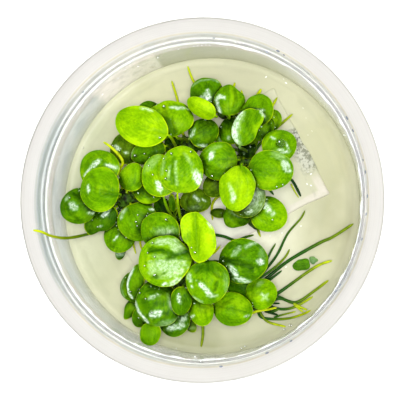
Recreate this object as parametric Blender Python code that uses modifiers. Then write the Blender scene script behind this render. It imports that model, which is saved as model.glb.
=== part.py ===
# Anubias: a clump of small, round-leaved plantlets on a bed of set gel in a clear, round culture cup.
# The tables are in millimetres and the meshes in metres, +Z up. The origin is the middle of the cup's underside,
# +X points to the side with the long roots and +Y to the side with the two thin yellow ones.

import math

import bmesh
import bpy
from mathutils import Euler, Vector

MM = 0.001
GAP = 0.3                 # clearance between pieces that touch

# Cup
RIM_RADIUS = 45.0         # outer edge of the flange
RIM_HEIGHT = 42.0
FLANGE_INNER = 41.3       # inner edge of the flat flange
LEDGE_RADIUS = 39.7       # top of the wall, under the ledge that the lid seals on
LEDGE_HEIGHT = 37.5
LEDGE_OUTER = 40.6        # outer edge of the ledge
LEDGE_SLOPE = 0.5         # how far the ledge rises towards its outer edge
MOUTH_SLOPE = 0.8         # height of the slope from the ledge's wall to the flange
FLOOR_RADIUS = 37.7       # inside of the wall at the floor
FLOOR_HEIGHT = 1.4
FOOT_BEVEL = 0.6          # slope round the underside
WALL = 0.8
FLANGE = 1.0
RIM_LIP = 1.8             # how far the flange's outer edge turns down
CUP_STEPS = 32

# Gel
GEL_TOP = 17.0
MENISCUS = 0.7            # how far the gel creeps up the wall
MENISCUS_REACH = 1.6      # how far from the wall it starts to
GEL_FLOOR = FLOOR_HEIGHT + GAP

# Leaves
BLADE = 0.6               # thickness of a blade
TAPER = 0.1               # how much narrower the tip's half is
STALK = 0.85              # width of a leaf's stalk
STALK_LEAD = 0.8          # how far a stalk runs straight on from its blade
STALK_BEND = 0.3          # how far its curve is drawn out, as a share of the way to the crown
HIGH, LOW = 62, 30        # where a stalk leaves its crown, in degrees above the horizon

# Crowns: the knob that a plantlet's leaves grow from
CROWN_RADIUS = 3.0
CROWN_HALF_HEIGHT = 2.0
CROWN_LEVEL = GEL_TOP + GAP + CROWN_HALF_HEIGHT
RHIZOME_RADIUS = 1.3
RHIZOME_END = 0.8         # how thick the old end is beside the rest
ROOT_RADIUS = 0.42
ROOT_TIP = 0.6            # how thick the tip is beside the rest

CROWNS = {
    "north": (-6.0, 15.0),
    "west": (-22.0, 2.0),
    "east": (9.5, 11.5),
    "near_east": (12.3, -3.5),
    "far_east": (4.5, 25.0),
    "middle": (-5.5, -12.0),
    "south": (-7.0, -21.5),
    "south_east": (12.5, -24.5),
}

# One row a leaf: name, crown, middle of the blade, bearing of the tip, length, width, pitch (tip up), roll (left
# side up), dome (middle above the edge), fold (sides up from the midrib), foot (bearing round the crown), height
# of the foot on the crown, shade, and cells along and across the blade. Bearings run from +X towards +Y.
LEAVES = [
    ("leaf_01", "north", (-16.0, 19.2, 35.5), 160, 14.0, 10.3, -6, 0, 1.2, 0, 215, HIGH, "lime", (4, 5)),
    ("leaf_02", "north", (-9.3, 21.0, 30.7), 113, 10.0, 13.0, -12, 0, 2.0, 0, 80, HIGH, "mid", (4, 5)),
    ("leaf_03", "north", (-15.0, 23.5, 27.2), 140, 6.5, 6.0, -8, 0, 1.0, 0, 135, LOW, "dark", (4, 3)),
    ("leaf_04", "far_east", (-1.0, 23.5, 32.5), 150, 8.5, 5.0, -4, -25, 0.8, 0, 200, LOW, "lime", (4, 3)),
    ("leaf_05", "north", (-0.5, 18.0, 29.5), 25, 8.0, 7.0, -8, 0, 1.4, 0, 30, LOW, "dark", (4, 3)),
    ("leaf_06", "west", (-21.0, 14.5, 26.5), 96, 8.5, 8.5, -8, 0, 1.2, 0, 72, LOW, "dark", (4, 3)),
    ("leaf_07", "north", (-15.0, 13.0, 29.0), 197, 9.5, 6.5, -8, 0, 1.2, 0, 185, LOW, "dark", (4, 3)),
    ("leaf_08", "west", (-27.3, 9.0, 31.5), 128, 10.7, 10.7, -10, 0, 1.6, 0, 135, LOW, "mid", (4, 5)),
    ("leaf_09", "west", (-26.5, 3.0, 35.0), 168, 10.5, 11.0, -8, 0, 1.8, 0, 190, HIGH, "mid", (4, 5)),
    ("leaf_10", "west", (-33.0, -1.0, 31.0), 192, 10.0, 9.5, -10, 0, 1.6, 0, 180, LOW, "mid", (4, 5)),
    ("leaf_11", "west", (-27.1, -4.3, 26.7), 222, 9.5, 6.5, -10, 0, 1.4, 0, 222, LOW, "dark", (4, 3)),
    ("leaf_12", "west", (-18.5, 6.5, 32.0), 70, 7.5, 6.5, -6, 0, 1.2, 0, 50, HIGH, "lime", (4, 3)),
    ("leaf_13", "middle", (-11.2, 6.7, 33.5), 100, 11.0, 9.5, -4, 0, 1.4, 0, 105, LOW, "lime", (4, 5)),
    ("leaf_14", "middle", (-5.5, 8.0, 36.0), 82, 12.0, 11.5, -4, 0, 1.8, 0, 80, HIGH, "lime", (4, 5)),
    ("leaf_15", "far_east", (-0.5, 28.3, 27.8), 128, 9.0, 8.5, -10, 0, 1.4, 0, 145, LOW, "dark", (4, 5)),
    ("leaf_16", "far_east", (6.0, 26.3, 30.2), 92, 8.8, 8.0, -8, 0, 1.4, 0, 280, HIGH, "mid", (4, 5)),
    ("leaf_17", "far_east", (13.0, 23.5, 31.9), 65, 8.5, 8.5, -8, 0, 1.4, 0, 325, LOW, "mid", (4, 5)),
    ("leaf_18", "east", (11.0, 18.5, 34.6), 68, 10.0, 7.0, -4, 0, 1.2, 22, 75, HIGH, "mid", (4, 5)),
    ("leaf_19", "east", (15.0, 18.5, 30.0), 55, 7.0, 5.0, -6, 0, 1.0, 0, 80, LOW, "dark", (4, 3)),
    ("leaf_20", "east", (16.5, 21.0, 27.5), 48, 6.0, 5.5, -6, 0, 0.8, 0, 50, LOW, "dark", (4, 3)),
    ("leaf_21", "east", (19.0, 14.0, 32.0), 30, 9.0, 8.5, -8, 0, 1.6, 0, 12, LOW, "mid", (4, 5)),
    ("leaf_22", "east", (17.0, 7.5, 35.0), -7, 11.4, 10.0, -6, 0, 1.8, 0, 335, LOW, "mid", (4, 5)),
    ("leaf_23", "east", (2.9, 10.2, 33.0), 181, 9.5, 9.5, -6, 0, 1.6, 0, 165, HIGH, "mid", (4, 5)),
    ("leaf_24", "east", (9.0, 3.5, 37.0), 262, 12.0, 9.5, -6, 0, 1.8, 0, 262, HIGH, "lime", (4, 5)),
    ("leaf_25", "east", (10.5, 0.5, 33.2), 275, 10.0, 10.0, -12, 0, 1.6, 0, 290, LOW, "dark", (4, 5)),
    ("leaf_26", "near_east", (6.9, -3.0, 27.8), 240, 7.5, 7.0, -10, 0, 1.2, 0, 140, LOW, "dark", (4, 3)),
    ("leaf_27", "near_east", (16.2, -3.3, 30.2), -22, 9.5, 9.0, -8, 0, 1.6, 0, 100, HIGH, "mid", (4, 5)),
    ("leaf_28", "east", (6.3, 18.0, 27.0), 112, 6.0, 6.5, -6, 0, 1.0, 0, 115, LOW, "dark", (4, 3)),
    ("leaf_29", "east", (2.0, 4.0, 29.5), 215, 6.0, 6.0, -8, 0, 1.0, 0, 215, LOW, "dark", (4, 3)),
    ("leaf_30", "middle", (-3.0, 0.8, 26.5), 88, 6.5, 8.0, -6, 0, 1.2, 0, 55, LOW, "dark", (4, 3)),
    ("leaf_31", "west", (-14.5, 4.0, 29.5), 8, 8.5, 8.5, -6, 0, 1.4, 0, 0, LOW, "lime", (4, 3)),
    ("leaf_32", "west", (-17.5, -5.0, 28.3), -68, 10.0, 10.5, -10, 0, 1.8, 0, 305, LOW, "dark", (4, 5)),
    ("leaf_33", "middle", (-11.6, -7.5, 32.0), 146, 10.5, 10.0, -6, -8, 1.4, 0, 150, LOW, "mid", (4, 5)),
    ("leaf_34", "middle", (-10.7, -15.0, 35.2), 184, 12.5, 13.0, -6, 0, 1.6, 0, 190, HIGH, "mid", (4, 5)),
    ("leaf_35", "west", (-23.0, -8.5, 25.0), 245, 8.5, 8.5, -8, 0, 1.4, 0, 262, LOW, "mid", (4, 3)),
    ("leaf_36", "middle", (-1.4, -8.3, 37.0), 94, 10.4, 8.5, 6, 0, 0.6, 22, 10, HIGH, "lime", (4, 5)),
    ("leaf_37", "middle", (1.1, -20.4, 35.7), 270, 11.0, 11.0, -4, 0, 1.8, 0, 290, LOW, "dark", (4, 5)),
    ("leaf_38", "middle", (10.0, -15.0, 32.5), 0, 12.0, 11.5, -6, 0, 1.8, 0, 325, LOW, "dark", (4, 5)),
    ("leaf_39", "south", (-12.7, -26.3, 31.3), 232, 12.5, 12.5, -6, 0, 2.0, 0, 215, HIGH, "dark", (4, 5)),
    ("leaf_40", "south", (-5.8, -25.1, 33.3), 262, 7.5, 5.5, -12, 0, 1.2, 0, 290, HIGH, "mid", (4, 3)),
    ("leaf_41", "south", (-1.0, -27.5, 31.1), 282, 8.0, 6.5, -8, 0, 1.4, 0, 300, LOW, "lime", (4, 3)),
    ("leaf_42", "south", (7.0, -27.0, 29.6), -12, 10.0, 8.5, -6, 0, 1.6, 0, 340, LOW, "mid", (4, 5)),
    ("leaf_43", "south_east", (14.0, -23.0, 27.5), 25, 8.0, 8.0, -6, 0, 1.4, 0, 200, HIGH, "mid", (4, 5)),
    ("leaf_44", "south_east", (8.2, -21.3, 25.6), 170, 7.0, 6.0, -6, 0, 1.0, 0, 120, LOW, "dark", (4, 3)),
    ("leaf_45", "south", (-19.5, -21.5, 25.4), 195, 7.0, 8.0, -6, 0, 1.2, 0, 178, LOW, "dark", (4, 3)),
    ("leaf_46", "middle", (-18.0, -20.0, 28.4), 255, 9.5, 5.2, -6, 25, 0.8, 15, 225, LOW, "dark", (4, 3)),
    ("leaf_47", "south", (-20.0, -27.0, 23.1), 235, 5.5, 4.0, -8, 0, 0.8, 0, 195, 10, "dark", (4, 3)),
    ("leaf_48", "south", (-17.0, -29.0, 25.8), 235, 6.0, 5.0, -8, 0, 0.8, 0, 220, 10, "dark", (4, 3)),
    ("leaf_49", "south", (-14.2, -33.1, 28.9), 262, 5.6, 5.4, 2, 0, 1.0, 0, 212, 36, "mid", (4, 3)),
    ("leaf_50", "south", (-8.6, -30.2, 26.4), 255, 8.4, 8.2, -12, 0, 1.4, 0, 265, LOW, "dark", (4, 5)),
]

# One entry a plantlet: the line of its rhizome, its crowns and its roots, each from where it leaves to its tip.
PLANTLETS = {
    "rhizome_north": {
        "line": [(-12.0, 9.5, 18.8), (-9.0, 12.5, 19.0), (-6.0, 15.0, 19.3)],
        "crowns": ["north"],
        "roots": [
            [(-6.5, 16.5, 19.0), (-8.0, 22.0, 18.4), (-8.5, 27.0, 18.4), (-10.0, 32.5, 20.0)],
            [(-11.0, 10.5, 18.4), (-10.5, 7.5, 17.8), (-9.0, 5.0, 17.8)],
        ],
    },
    "rhizome_west": {
        "line": [(-15.5, -0.5, 18.7), (-19.0, 1.0, 19.0), (-22.0, 2.0, 19.3)],
        "crowns": ["west"],
        "roots": [
            [(-23.0, 0.0, 19.5), (-25.5, -3.0, 20.0), (-29.0, -6.5, 21.5), (-32.5, -8.0, 25.5), (-35.5, -8.2, 31.0),
             (-38.0, -8.0, 38.5), (-39.2, -7.8, 42.0), (-41.5, -7.5, 42.8)],
            [(-22.8, 4.0, 19.8), (-22.8, 6.5, 23.5), (-22.3, 8.8, 27.2), (-21.3, 10.4, 28.6), (-22.4, 12.4, 29.2),
             (-24.3, 14.3, 29.8), (-26.2, 15.6, 30.2)],
            [(-17.0, 0.0, 18.4), (-16.5, -4.0, 17.8), (-18.5, -9.0, 17.8), (-18.0, -11.5, 17.8)],
        ],
    },
    "rhizome_east": {
        "line": [(13.2, -6.0, 18.8), (12.3, -3.5, 19.3), (10.7, 4.5, 19.0), (9.5, 11.5, 19.3), (7.0, 18.5, 19.0),
                 (4.5, 25.0, 19.3)],
        "crowns": ["near_east", "east", "far_east"],
        "roots": [
            [(3.0, 25.5, 19.0), (-1.5, 28.5, 17.9), (-4.5, 32.5, 17.8), (-6.0, 36.5, 18.6)],
            [(4.7, 26.5, 19.0), (5.5, 29.0, 18.2), (6.5, 32.0, 18.4)],
            [(5.8, 26.0, 19.5), (8.3, 28.0, 18.7), (8.2, 29.8, 20.0)],
            [(6.5, 25.0, 19.3), (11.0, 27.0, 18.6), (13.5, 30.0, 19.8)],
            [(10.0, 13.5, 19.0), (13.0, 20.0, 18.0), (17.5, 28.0, 18.2)],
            [(11.0, 13.0, 19.0), (14.0, 17.0, 18.0), (21.5, 23.5, 18.6)],
            [(11.5, 11.0, 19.0), (17.0, 9.5, 18.0), (21.0, 6.5, 17.8), (23.5, 2.0, 17.8)],
            [(11.0, 5.0, 18.8), (14.5, 4.5, 17.8), (16.5, 2.5, 17.8)],
            [(10.0, 4.6, 18.8), (3.5, 3.0, 17.9), (0.5, 0.5, 17.8), (0.5, -4.0, 17.8)],
            [(12.6, -5.0, 18.6), (12.3, -6.5, 18.0), (13.0, -8.4, 17.8)],
        ],
    },
    "rhizome_middle": {
        "line": [(-5.0, -8.5, 18.9), (-5.5, -12.0, 19.3), (-6.0, -17.0, 19.0), (-7.0, -21.5, 19.3)],
        "crowns": ["middle", "south"],
        "roots": [
            [(-3.4, -11.4, 19.6), (-0.5, -8.0, 20.6), (3.5, -8.2, 20.0), (6.5, -9.2, 18.4), (9.5, -8.2, 17.9),
             (11.3, -7.8, 17.9)],
            [(-3.5, -12.2, 19.4), (0.5, -12.8, 20.2), (3.0, -10.6, 21.6)],
            [(-5.5, -23.0, 19.0), (-3.0, -27.0, 18.2), (-2.0, -32.5, 17.9), (-2.5, -36.8, 18.0)],
        ],
    },
    "rhizome_south_east": {
        "line": [(15.8, -27.0, 18.8), (12.5, -24.5, 19.3), (10.8, -20.0, 18.8)],
        "crowns": ["south_east"],
        "roots": [
            [(11.5, -20.5, 19.0), (13.5, -17.0, 18.3), (15.5, -12.5, 18.6), (17.0, -10.0, 18.8)],
            [(11.0, -20.5, 18.8), (15.0, -16.0, 18.2), (17.5, -12.5, 17.8), (20.0, -7.5, 17.8), (23.5, -3.5, 17.8),
             (24.5, -1.5, 18.0)],
            [(11.0, -20.0, 19.2), (15.5, -17.2, 18.8), (19.2, -13.8, 18.2), (20.5, -11.5, 17.9)],
            [(11.5, -21.5, 18.6), (15.5, -18.2, 17.9), (20.5, -14.3, 17.8), (28.5, -9.8, 17.8), (31.5, -8.5, 17.8),
             (37.0, -5.0, 17.9)],
            [(12.0, -21.5, 18.6), (15.0, -19.6, 17.8), (18.5, -17.0, 17.8)],
            [(14.5, -24.5, 18.8), (18.0, -22.5, 17.9), (25.0, -17.5, 17.8), (28.5, -15.4, 17.8), (31.5, -14.5, 17.9)],
            [(15.0, -25.5, 18.6), (18.0, -24.2, 18.4), (22.0, -25.3, 17.9), (26.5, -22.5, 17.8), (30.5, -19.5, 17.9)],
            [(15.0, -26.2, 18.4), (18.5, -27.0, 17.9), (22.0, -26.3, 17.9), (26.5, -23.7, 17.8)],
            [(12.5, -26.0, 19.0), (13.0, -29.0, 18.0), (19.0, -29.5, 17.8), (23.5, -28.4, 18.2), (26.0, -27.2, 19.6)],
            [(13.5, -26.0, 19.2), (15.0, -27.8, 18.8), (18.0, -26.9, 19.0)],
            [(12.0, -26.2, 18.6), (14.5, -30.0, 17.8), (19.5, -31.5, 17.8)],
        ],
    },
}

# Loose bits of leaf on the gel: middle, length, width, bearing
FRAGMENTS = {
    "leaf_fragment_large": ((23.4, -15.5), 4.2, 2.8, 5),
    "leaf_fragment_small": ((26.3, -14.5), 1.9, 1.7, 30),
}
FRAGMENT_THICKNESS = 0.5
FRAGMENT_TAPER = 0.7      # length of a fragment's far side beside its near side
FRAGMENT_ROUNDING = 0.2   # how far its corners are rounded, as a share of its width


def start_scene():
    for obj in list(bpy.data.objects):
        bpy.data.objects.remove(obj)


def make_collection(name, parent):
    collection = bpy.data.collections.new(name)
    parent.children.link(collection)
    return collection


def make_material(name, colour, roughness, transmission=0.0, ior=1.45):
    material = bpy.data.materials.new(name)
    material.use_nodes = True
    shader = material.node_tree.nodes["Principled BSDF"]
    shader.inputs["Base Color"].default_value = (*colour, 1.0)
    shader.inputs["Roughness"].default_value = roughness
    shader.inputs["Metallic"].default_value = 0.0
    shader.inputs["Transmission Weight"].default_value = transmission
    shader.inputs["IOR"].default_value = ior
    material.diffuse_color = (*colour, 1.0)
    return material


def add_object(name, mesh, material, collection):
    obj = bpy.data.objects.new(name, mesh)
    if material:
        mesh.materials.append(material)
    collection.objects.link(obj)
    return obj


def turned(name, profile, steps, material, collection):
    """A profile of (radius, height) points turned about Z, from the axis on top to the axis below."""
    bm = bmesh.new()
    points = [bm.verts.new((radius * MM, 0.0, height * MM)) for radius, height in profile]
    for first, second in zip(points, points[1:]):
        bm.edges.new((first, second))
    mesh = bpy.data.meshes.new(name)
    bm.to_mesh(mesh)
    bm.free()
    obj = add_object(name, mesh, material, collection)
    screw = obj.modifiers.new("Screw", "SCREW")
    screw.axis = "Z"
    screw.angle = math.tau
    screw.steps = steps
    screw.render_steps = steps
    screw.use_merge_vertices = True
    screw.merge_threshold = 0.00001
    screw.use_smooth_shade = True
    return obj


def wall_radius(height):
    """Inside radius of the cup's wall."""
    share = (height - FLOOR_HEIGHT) / (LEDGE_HEIGHT - FLOOR_HEIGHT)
    return FLOOR_RADIUS + share * (LEDGE_RADIUS - FLOOR_RADIUS)


def make_cup(material, collection):
    inside = [
        (0.0, FLOOR_HEIGHT),
        (FLOOR_RADIUS, FLOOR_HEIGHT),
        (LEDGE_RADIUS, LEDGE_HEIGHT),
        (LEDGE_OUTER, LEDGE_HEIGHT + LEDGE_SLOPE),
        (LEDGE_OUTER, RIM_HEIGHT - MOUTH_SLOPE),
        (FLANGE_INNER, RIM_HEIGHT),
    ]
    outside = [
        (RIM_RADIUS, RIM_HEIGHT),
        (RIM_RADIUS, RIM_HEIGHT - RIM_LIP),
        (RIM_RADIUS - WALL, RIM_HEIGHT - RIM_LIP),
        (RIM_RADIUS - WALL, RIM_HEIGHT - FLANGE),
        (LEDGE_OUTER + WALL, RIM_HEIGHT - MOUTH_SLOPE - WALL),
        (LEDGE_OUTER + WALL, LEDGE_HEIGHT + LEDGE_SLOPE - WALL),
        (LEDGE_RADIUS + WALL, LEDGE_HEIGHT - WALL),
        (FLOOR_RADIUS + WALL, FOOT_BEVEL),
        (FLOOR_RADIUS + WALL - FOOT_BEVEL, 0.0),
        (0.0, 0.0),
    ]
    return turned("cup", inside + outside, CUP_STEPS, material, collection)


def make_gel(material, collection):
    edge = GEL_TOP + MENISCUS
    profile = [
        (0.0, GEL_TOP),
        (wall_radius(GEL_TOP) - MENISCUS_REACH, GEL_TOP),
        (wall_radius(edge) - GAP, edge),
        (wall_radius(GEL_FLOOR) - GAP, GEL_FLOOR),
        (0.0, GEL_FLOOR),
    ]
    return turned("gel", profile, CUP_STEPS, material, collection)


def crown_point(crown, bearing, rise):
    """A point just off a crown's surface, and the direction straight out of it there."""
    middle = Vector((*CROWNS[crown], CROWN_LEVEL))
    around = Vector((math.cos(math.radians(bearing)), math.sin(math.radians(bearing)), 0.0))
    level, height = math.cos(math.radians(rise)), math.sin(math.radians(rise))
    out = (around * (level / CROWN_RADIUS) + Vector((0, 0, height / CROWN_HALF_HEIGHT))).normalized()
    surface = around * (level * CROWN_RADIUS) + Vector((0, 0, height * CROWN_HALF_HEIGHT))
    return middle + surface + out * GAP, out


def blade_point(along, across, length, width, dome, fold):
    """Where a point of the square from -1 to 1 lies on the blade: along the midrib, across it, and up."""
    a = along * math.sqrt(1 - across * across / 2)
    b = across * math.sqrt(1 - along * along / 2)
    y = b * width / 2 * (1 - TAPER * a)
    rise = dome * (0.5 - a * a - b * b) + math.tan(math.radians(fold)) * (abs(y) - width / 8)
    return Vector((a * length / 2, y, rise))


def curve_point(a, b, c, d, t):
    """A point on the cubic curve with ends a and d and handles b and c."""
    s = 1 - t
    return a * s ** 3 + b * (3 * s * s * t) + c * (3 * s * t * t) + d * t ** 3


def grow_stalk(bm, base, points, side):
    """Draws the rim face nearest the base out along the points, as a square stalk."""
    face = min(bm.faces, key=lambda f: (f.calc_center_median() - base).length)
    middle = face.calc_center_median()
    signs = [(1 if (v.co - middle).dot(side) > 0 else -1, 1 if v.co.z > middle.z else -1) for v in face.verts]
    for index, point in enumerate(points):
        ahead = points[min(index + 1, len(points) - 1)]
        behind = points[index - 1] if index else middle
        forward = (ahead - behind).normalized()
        up = side.cross(forward).normalized()
        across = forward.cross(up)
        face = bmesh.ops.extrude_discrete_faces(bm, faces=[face])["faces"][0]
        for vert, (left, above) in zip(face.verts, signs):
            vert.co = point + (across * left + up * above) * (STALK / 2)


def make_leaf(row, materials, collection):
    name, crown, middle, bearing, length, width, pitch, roll, dome, fold, foot, rise, shade, cells = row
    frame = Euler((math.radians(roll), math.radians(-pitch), math.radians(bearing))).to_matrix().to_4x4()
    frame.translation = Vector(middle)
    bm = bmesh.new()
    bmesh.ops.create_grid(bm, x_segments=cells[0], y_segments=cells[1], size=1.0)
    for vert in bm.verts:
        vert.co = blade_point(vert.co.x, vert.co.y, length, width, dome, fold)
    base = blade_point(-1, 0, length, width, dome, fold) - Vector((0, 0, BLADE / 2))
    bmesh.ops.solidify(bm, geom=bm.faces[:], thickness=BLADE)
    end, out = crown_point(crown, foot, rise)
    to_leaf = frame.inverted()
    gap = frame @ base - end
    lead = Vector((STALK_LEAD + STALK_BEND * gap.xy.length, 0, 0))
    handles = (base - lead, to_leaf @ (end + out * STALK_BEND * gap.length))
    stops = 4 if cells[1] > 3 else 3
    path = [curve_point(base, *handles, to_leaf @ end, (i + 1) / stops) for i in range(stops)]
    grow_stalk(bm, base, path, Vector((0, 1, 0)))
    bmesh.ops.recalc_face_normals(bm, faces=bm.faces[:])
    bmesh.ops.scale(bm, vec=(MM, MM, MM), verts=bm.verts[:])
    mesh = bpy.data.meshes.new(name)
    bm.to_mesh(mesh)
    bm.free()
    mesh.shade_smooth()
    mesh.set_sharp_from_angle(angle=math.radians(50))
    obj = add_object(name, mesh, materials[shade], collection)
    obj.location = frame.translation * MM
    obj.rotation_euler = frame.to_euler()
    return obj


def make_tube(name, points, radii, resolution, collection):
    """A round bar through the points, as a closed mesh."""
    curve = bpy.data.curves.new(name, "CURVE")
    curve.dimensions = "3D"
    curve.bevel_depth = MM
    curve.bevel_resolution = resolution
    curve.use_fill_caps = True
    spline = curve.splines.new("POLY")
    spline.points.add(len(points) - 1)
    for spot, point, radius in zip(spline.points, points, radii):
        spot.co = (*(Vector(point) * MM), 1.0)
        spot.radius = radius
    bar = add_object(name + "_line", curve, None, collection)
    bpy.context.view_layer.update()
    mesh = bpy.data.meshes.new_from_object(bar.evaluated_get(bpy.context.evaluated_depsgraph_get()))
    bm = bmesh.new()
    bm.from_mesh(mesh)
    bmesh.ops.remove_doubles(bm, verts=bm.verts[:], dist=0.000001)
    bm.to_mesh(mesh)
    bm.free()
    mesh.name = name
    tube = add_object(name, mesh, None, collection)
    tube.matrix_world = bar.matrix_world
    bpy.data.objects.remove(bar)
    return tube


def make_knob(name, crown, collection):
    bm = bmesh.new()
    bmesh.ops.create_icosphere(bm, subdivisions=2, radius=1.0)
    bmesh.ops.scale(bm, vec=Vector((CROWN_RADIUS, CROWN_RADIUS, CROWN_HALF_HEIGHT)) * MM, verts=bm.verts[:])
    mesh = bpy.data.meshes.new(name)
    bm.to_mesh(mesh)
    bm.free()
    knob = add_object(name, mesh, None, collection)
    knob.location = Vector((*CROWNS[crown], CROWN_LEVEL)) * MM
    return knob


def mark_as_cutter(obj):
    obj.hide_render = True
    obj.display_type = "WIRE"


def make_plantlet(name, plan, material, collection, cutters):
    """A rhizome with its crowns and roots grown on, joined in one body."""
    radii = [RHIZOME_RADIUS * RHIZOME_END] + [RHIZOME_RADIUS] * (len(plan["line"]) - 1)
    body = make_tube(name, plan["line"], radii, 1, collection)
    body.data.materials.append(material)
    grown = make_collection(name + "_grown_on", cutters)
    for crown in plan["crowns"]:
        mark_as_cutter(make_knob(name + "_crown_" + crown, crown, grown))
    for number, route in enumerate(plan["roots"], 1):
        radii = [ROOT_RADIUS] * (len(route) - 1) + [ROOT_RADIUS * ROOT_TIP]
        mark_as_cutter(make_tube(f"{name}_root_{number}", route, radii, 0, grown))
    join = body.modifiers.new("Grown on", "BOOLEAN")
    join.operation = "UNION"
    join.solver = "EXACT"
    join.operand_type = "COLLECTION"
    join.collection = grown
    join.use_self = True
    return body


def make_fragment(name, plan, material, collection):
    """A torn bit of a blade lying on the gel."""
    (x, y), length, width, bearing = plan
    bm = bmesh.new()
    bmesh.ops.create_cube(bm, size=1.0)
    bmesh.ops.scale(bm, vec=(length * MM, width * MM, FRAGMENT_THICKNESS * MM), verts=bm.verts[:])
    for vert in bm.verts:
        if vert.co.y > 0:
            vert.co.x *= FRAGMENT_TAPER
    upright = [edge for edge in bm.edges if edge.verts[0].co.z * edge.verts[1].co.z < 0]
    rounding = FRAGMENT_ROUNDING * width * MM
    bmesh.ops.bevel(bm, geom=upright, offset=rounding, segments=2, profile=0.5, affect="EDGES", material=-1)
    mesh = bpy.data.meshes.new(name)
    bm.to_mesh(mesh)
    bm.free()
    obj = add_object(name, mesh, material, collection)
    obj.location = Vector((x, y, GEL_TOP + GAP + FRAGMENT_THICKNESS / 2)) * MM
    obj.rotation_euler.z = math.radians(bearing)
    return obj


def main():
    start_scene()
    parts = make_collection("anubias", bpy.context.scene.collection)
    cutters = make_collection("anubias_cutters", bpy.context.scene.collection)
    clear = make_material("cup_plastic", (0.95, 0.96, 0.96), 0.08, transmission=1.0, ior=1.49)
    gel = make_material("gel", (0.86, 0.86, 0.70), 0.12, transmission=0.7, ior=1.34)
    plant = make_material("rhizome_and_roots", (0.08, 0.20, 0.03), 0.45)
    leaves = {
        "lime": make_material("leaf_lime", (0.36, 0.62, 0.02), 0.3),
        "mid": make_material("leaf_mid", (0.15, 0.40, 0.02), 0.3),
        "dark": make_material("leaf_dark", (0.05, 0.20, 0.01), 0.3),
    }
    make_cup(clear, parts)
    make_gel(gel, parts)
    for name, plan in PLANTLETS.items():
        make_plantlet(name, plan, plant, parts, cutters)
    for row in LEAVES:
        make_leaf(row, leaves, parts)
    for name, plan in FRAGMENTS.items():
        make_fragment(name, plan, leaves["dark"], parts)


main()
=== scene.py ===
# Anubias in its culture cup: the looks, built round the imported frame.
# Sizes are in millimetres and go to metres as a mesh is made. Materials read Object coordinates, so the sizes
# in them are metres, as those of the studio are.
import math

import bmesh
import bpy
from mathutils import Euler, Matrix, Vector, noise
from mathutils.bvhtree import BVHTree
from mathutils.geometry import intersect_line_plane, intersect_point_line


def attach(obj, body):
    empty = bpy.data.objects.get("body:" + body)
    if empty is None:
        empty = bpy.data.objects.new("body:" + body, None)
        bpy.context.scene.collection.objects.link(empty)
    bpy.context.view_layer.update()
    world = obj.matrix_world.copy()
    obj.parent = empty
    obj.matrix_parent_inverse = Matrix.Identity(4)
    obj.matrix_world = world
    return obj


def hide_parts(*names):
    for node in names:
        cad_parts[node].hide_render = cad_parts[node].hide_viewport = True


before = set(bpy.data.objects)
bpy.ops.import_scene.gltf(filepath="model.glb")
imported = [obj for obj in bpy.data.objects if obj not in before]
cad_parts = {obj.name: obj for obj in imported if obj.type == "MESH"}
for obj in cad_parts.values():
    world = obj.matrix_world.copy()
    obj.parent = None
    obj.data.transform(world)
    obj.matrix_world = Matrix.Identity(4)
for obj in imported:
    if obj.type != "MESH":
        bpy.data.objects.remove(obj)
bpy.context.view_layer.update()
mm = 0.001
bpy.context.scene.view_settings.view_transform = "Standard"

# Camera: above the cup, leaning a little towards the right and the front
view = {
    "aim": Vector((0.05, -0.32, 42.0)),
    "towards": Vector((47.0, -28.0, 400.0)),
    "distance": 404.0,
    "frame": 400.0,       # pixels across
    "rim": 90.0,
    "rimInFrame": 367.0,  # how many of the pixels the rim takes up
    "sensor": 36.0,
}
backward = view["towards"].normalized()
rightward = Vector((0, 1, 0)).cross(backward).normalized()
upward = backward.cross(rightward)
eye = view["aim"] + backward * view["distance"]
focal = view["distance"] * view["rimInFrame"] / view["rim"]      # in pixels


def makeCamera():
    camera = bpy.data.cameras.new("camera")
    camera.sensor_width = view["sensor"]
    camera.lens = focal / view["frame"] * view["sensor"]
    camera.clip_start, camera.clip_end = 0.02, 20.0      # metres
    obj = bpy.data.objects.new("camera", camera)
    turn = Matrix((rightward, upward, backward)).transposed().to_4x4()
    obj.matrix_world = Matrix.Translation(eye * mm) @ turn
    bpy.context.scene.collection.objects.link(obj)
    bpy.context.scene.camera = obj


def sightLine(column, row):      # from the eye through a point of the frame
    half = view["frame"] / 2
    return (rightward * (column - half) - upward * (row - half) - backward * focal).normalized()


def sightPoint(column, row, height):
    ray = sightLine(column, row)
    return eye + ray * ((height - eye.z) / ray.z)


makeCamera()
print("camera ready")


# Helpers for node trees: a value that comes from a node knows the tree it is in
def paint(*steps):      # a colour as it looks on screen, in steps from 0 to 255
    linear = [((step / 255 + 0.055) / 1.055) ** 2.4 if step > 10 else step / 255 / 12.92 for step in steps]
    return (*linear, 1.0)


def fill(sockets, values):      # links what comes from a node and sets the rest
    for key, value in values.items():
        if isinstance(value, bpy.types.NodeSocket):
            value.id_data.links.new(value, sockets[key])
        else:
            sockets[key].default_value = value


def add(tree, kind, values=None, **settings):
    node = tree.nodes.new("ShaderNode" + kind)
    for key, value in settings.items():
        setattr(node, key, value)
    fill(node.inputs, values or {})
    return node.outputs


def feed(kind, values, output=0, **settings):      # adds a node beside those that its values come from
    tree = next(value.id_data for value in values.values() if isinstance(value, bpy.types.NodeSocket))
    return add(tree, kind, values, **settings)[output]


def calc(operation, first, second=0.0, clamp=False):
    return feed("Math", {0: first, 1: second}, operation=operation, use_clamp=clamp)


def plus(first, second):
    return calc("ADD", first, second)


def minus(first, second):
    return calc("SUBTRACT", first, second)


def times(first, *others):
    for other in others:
        first = calc("MULTIPLY", first, other)
    return first


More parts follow.
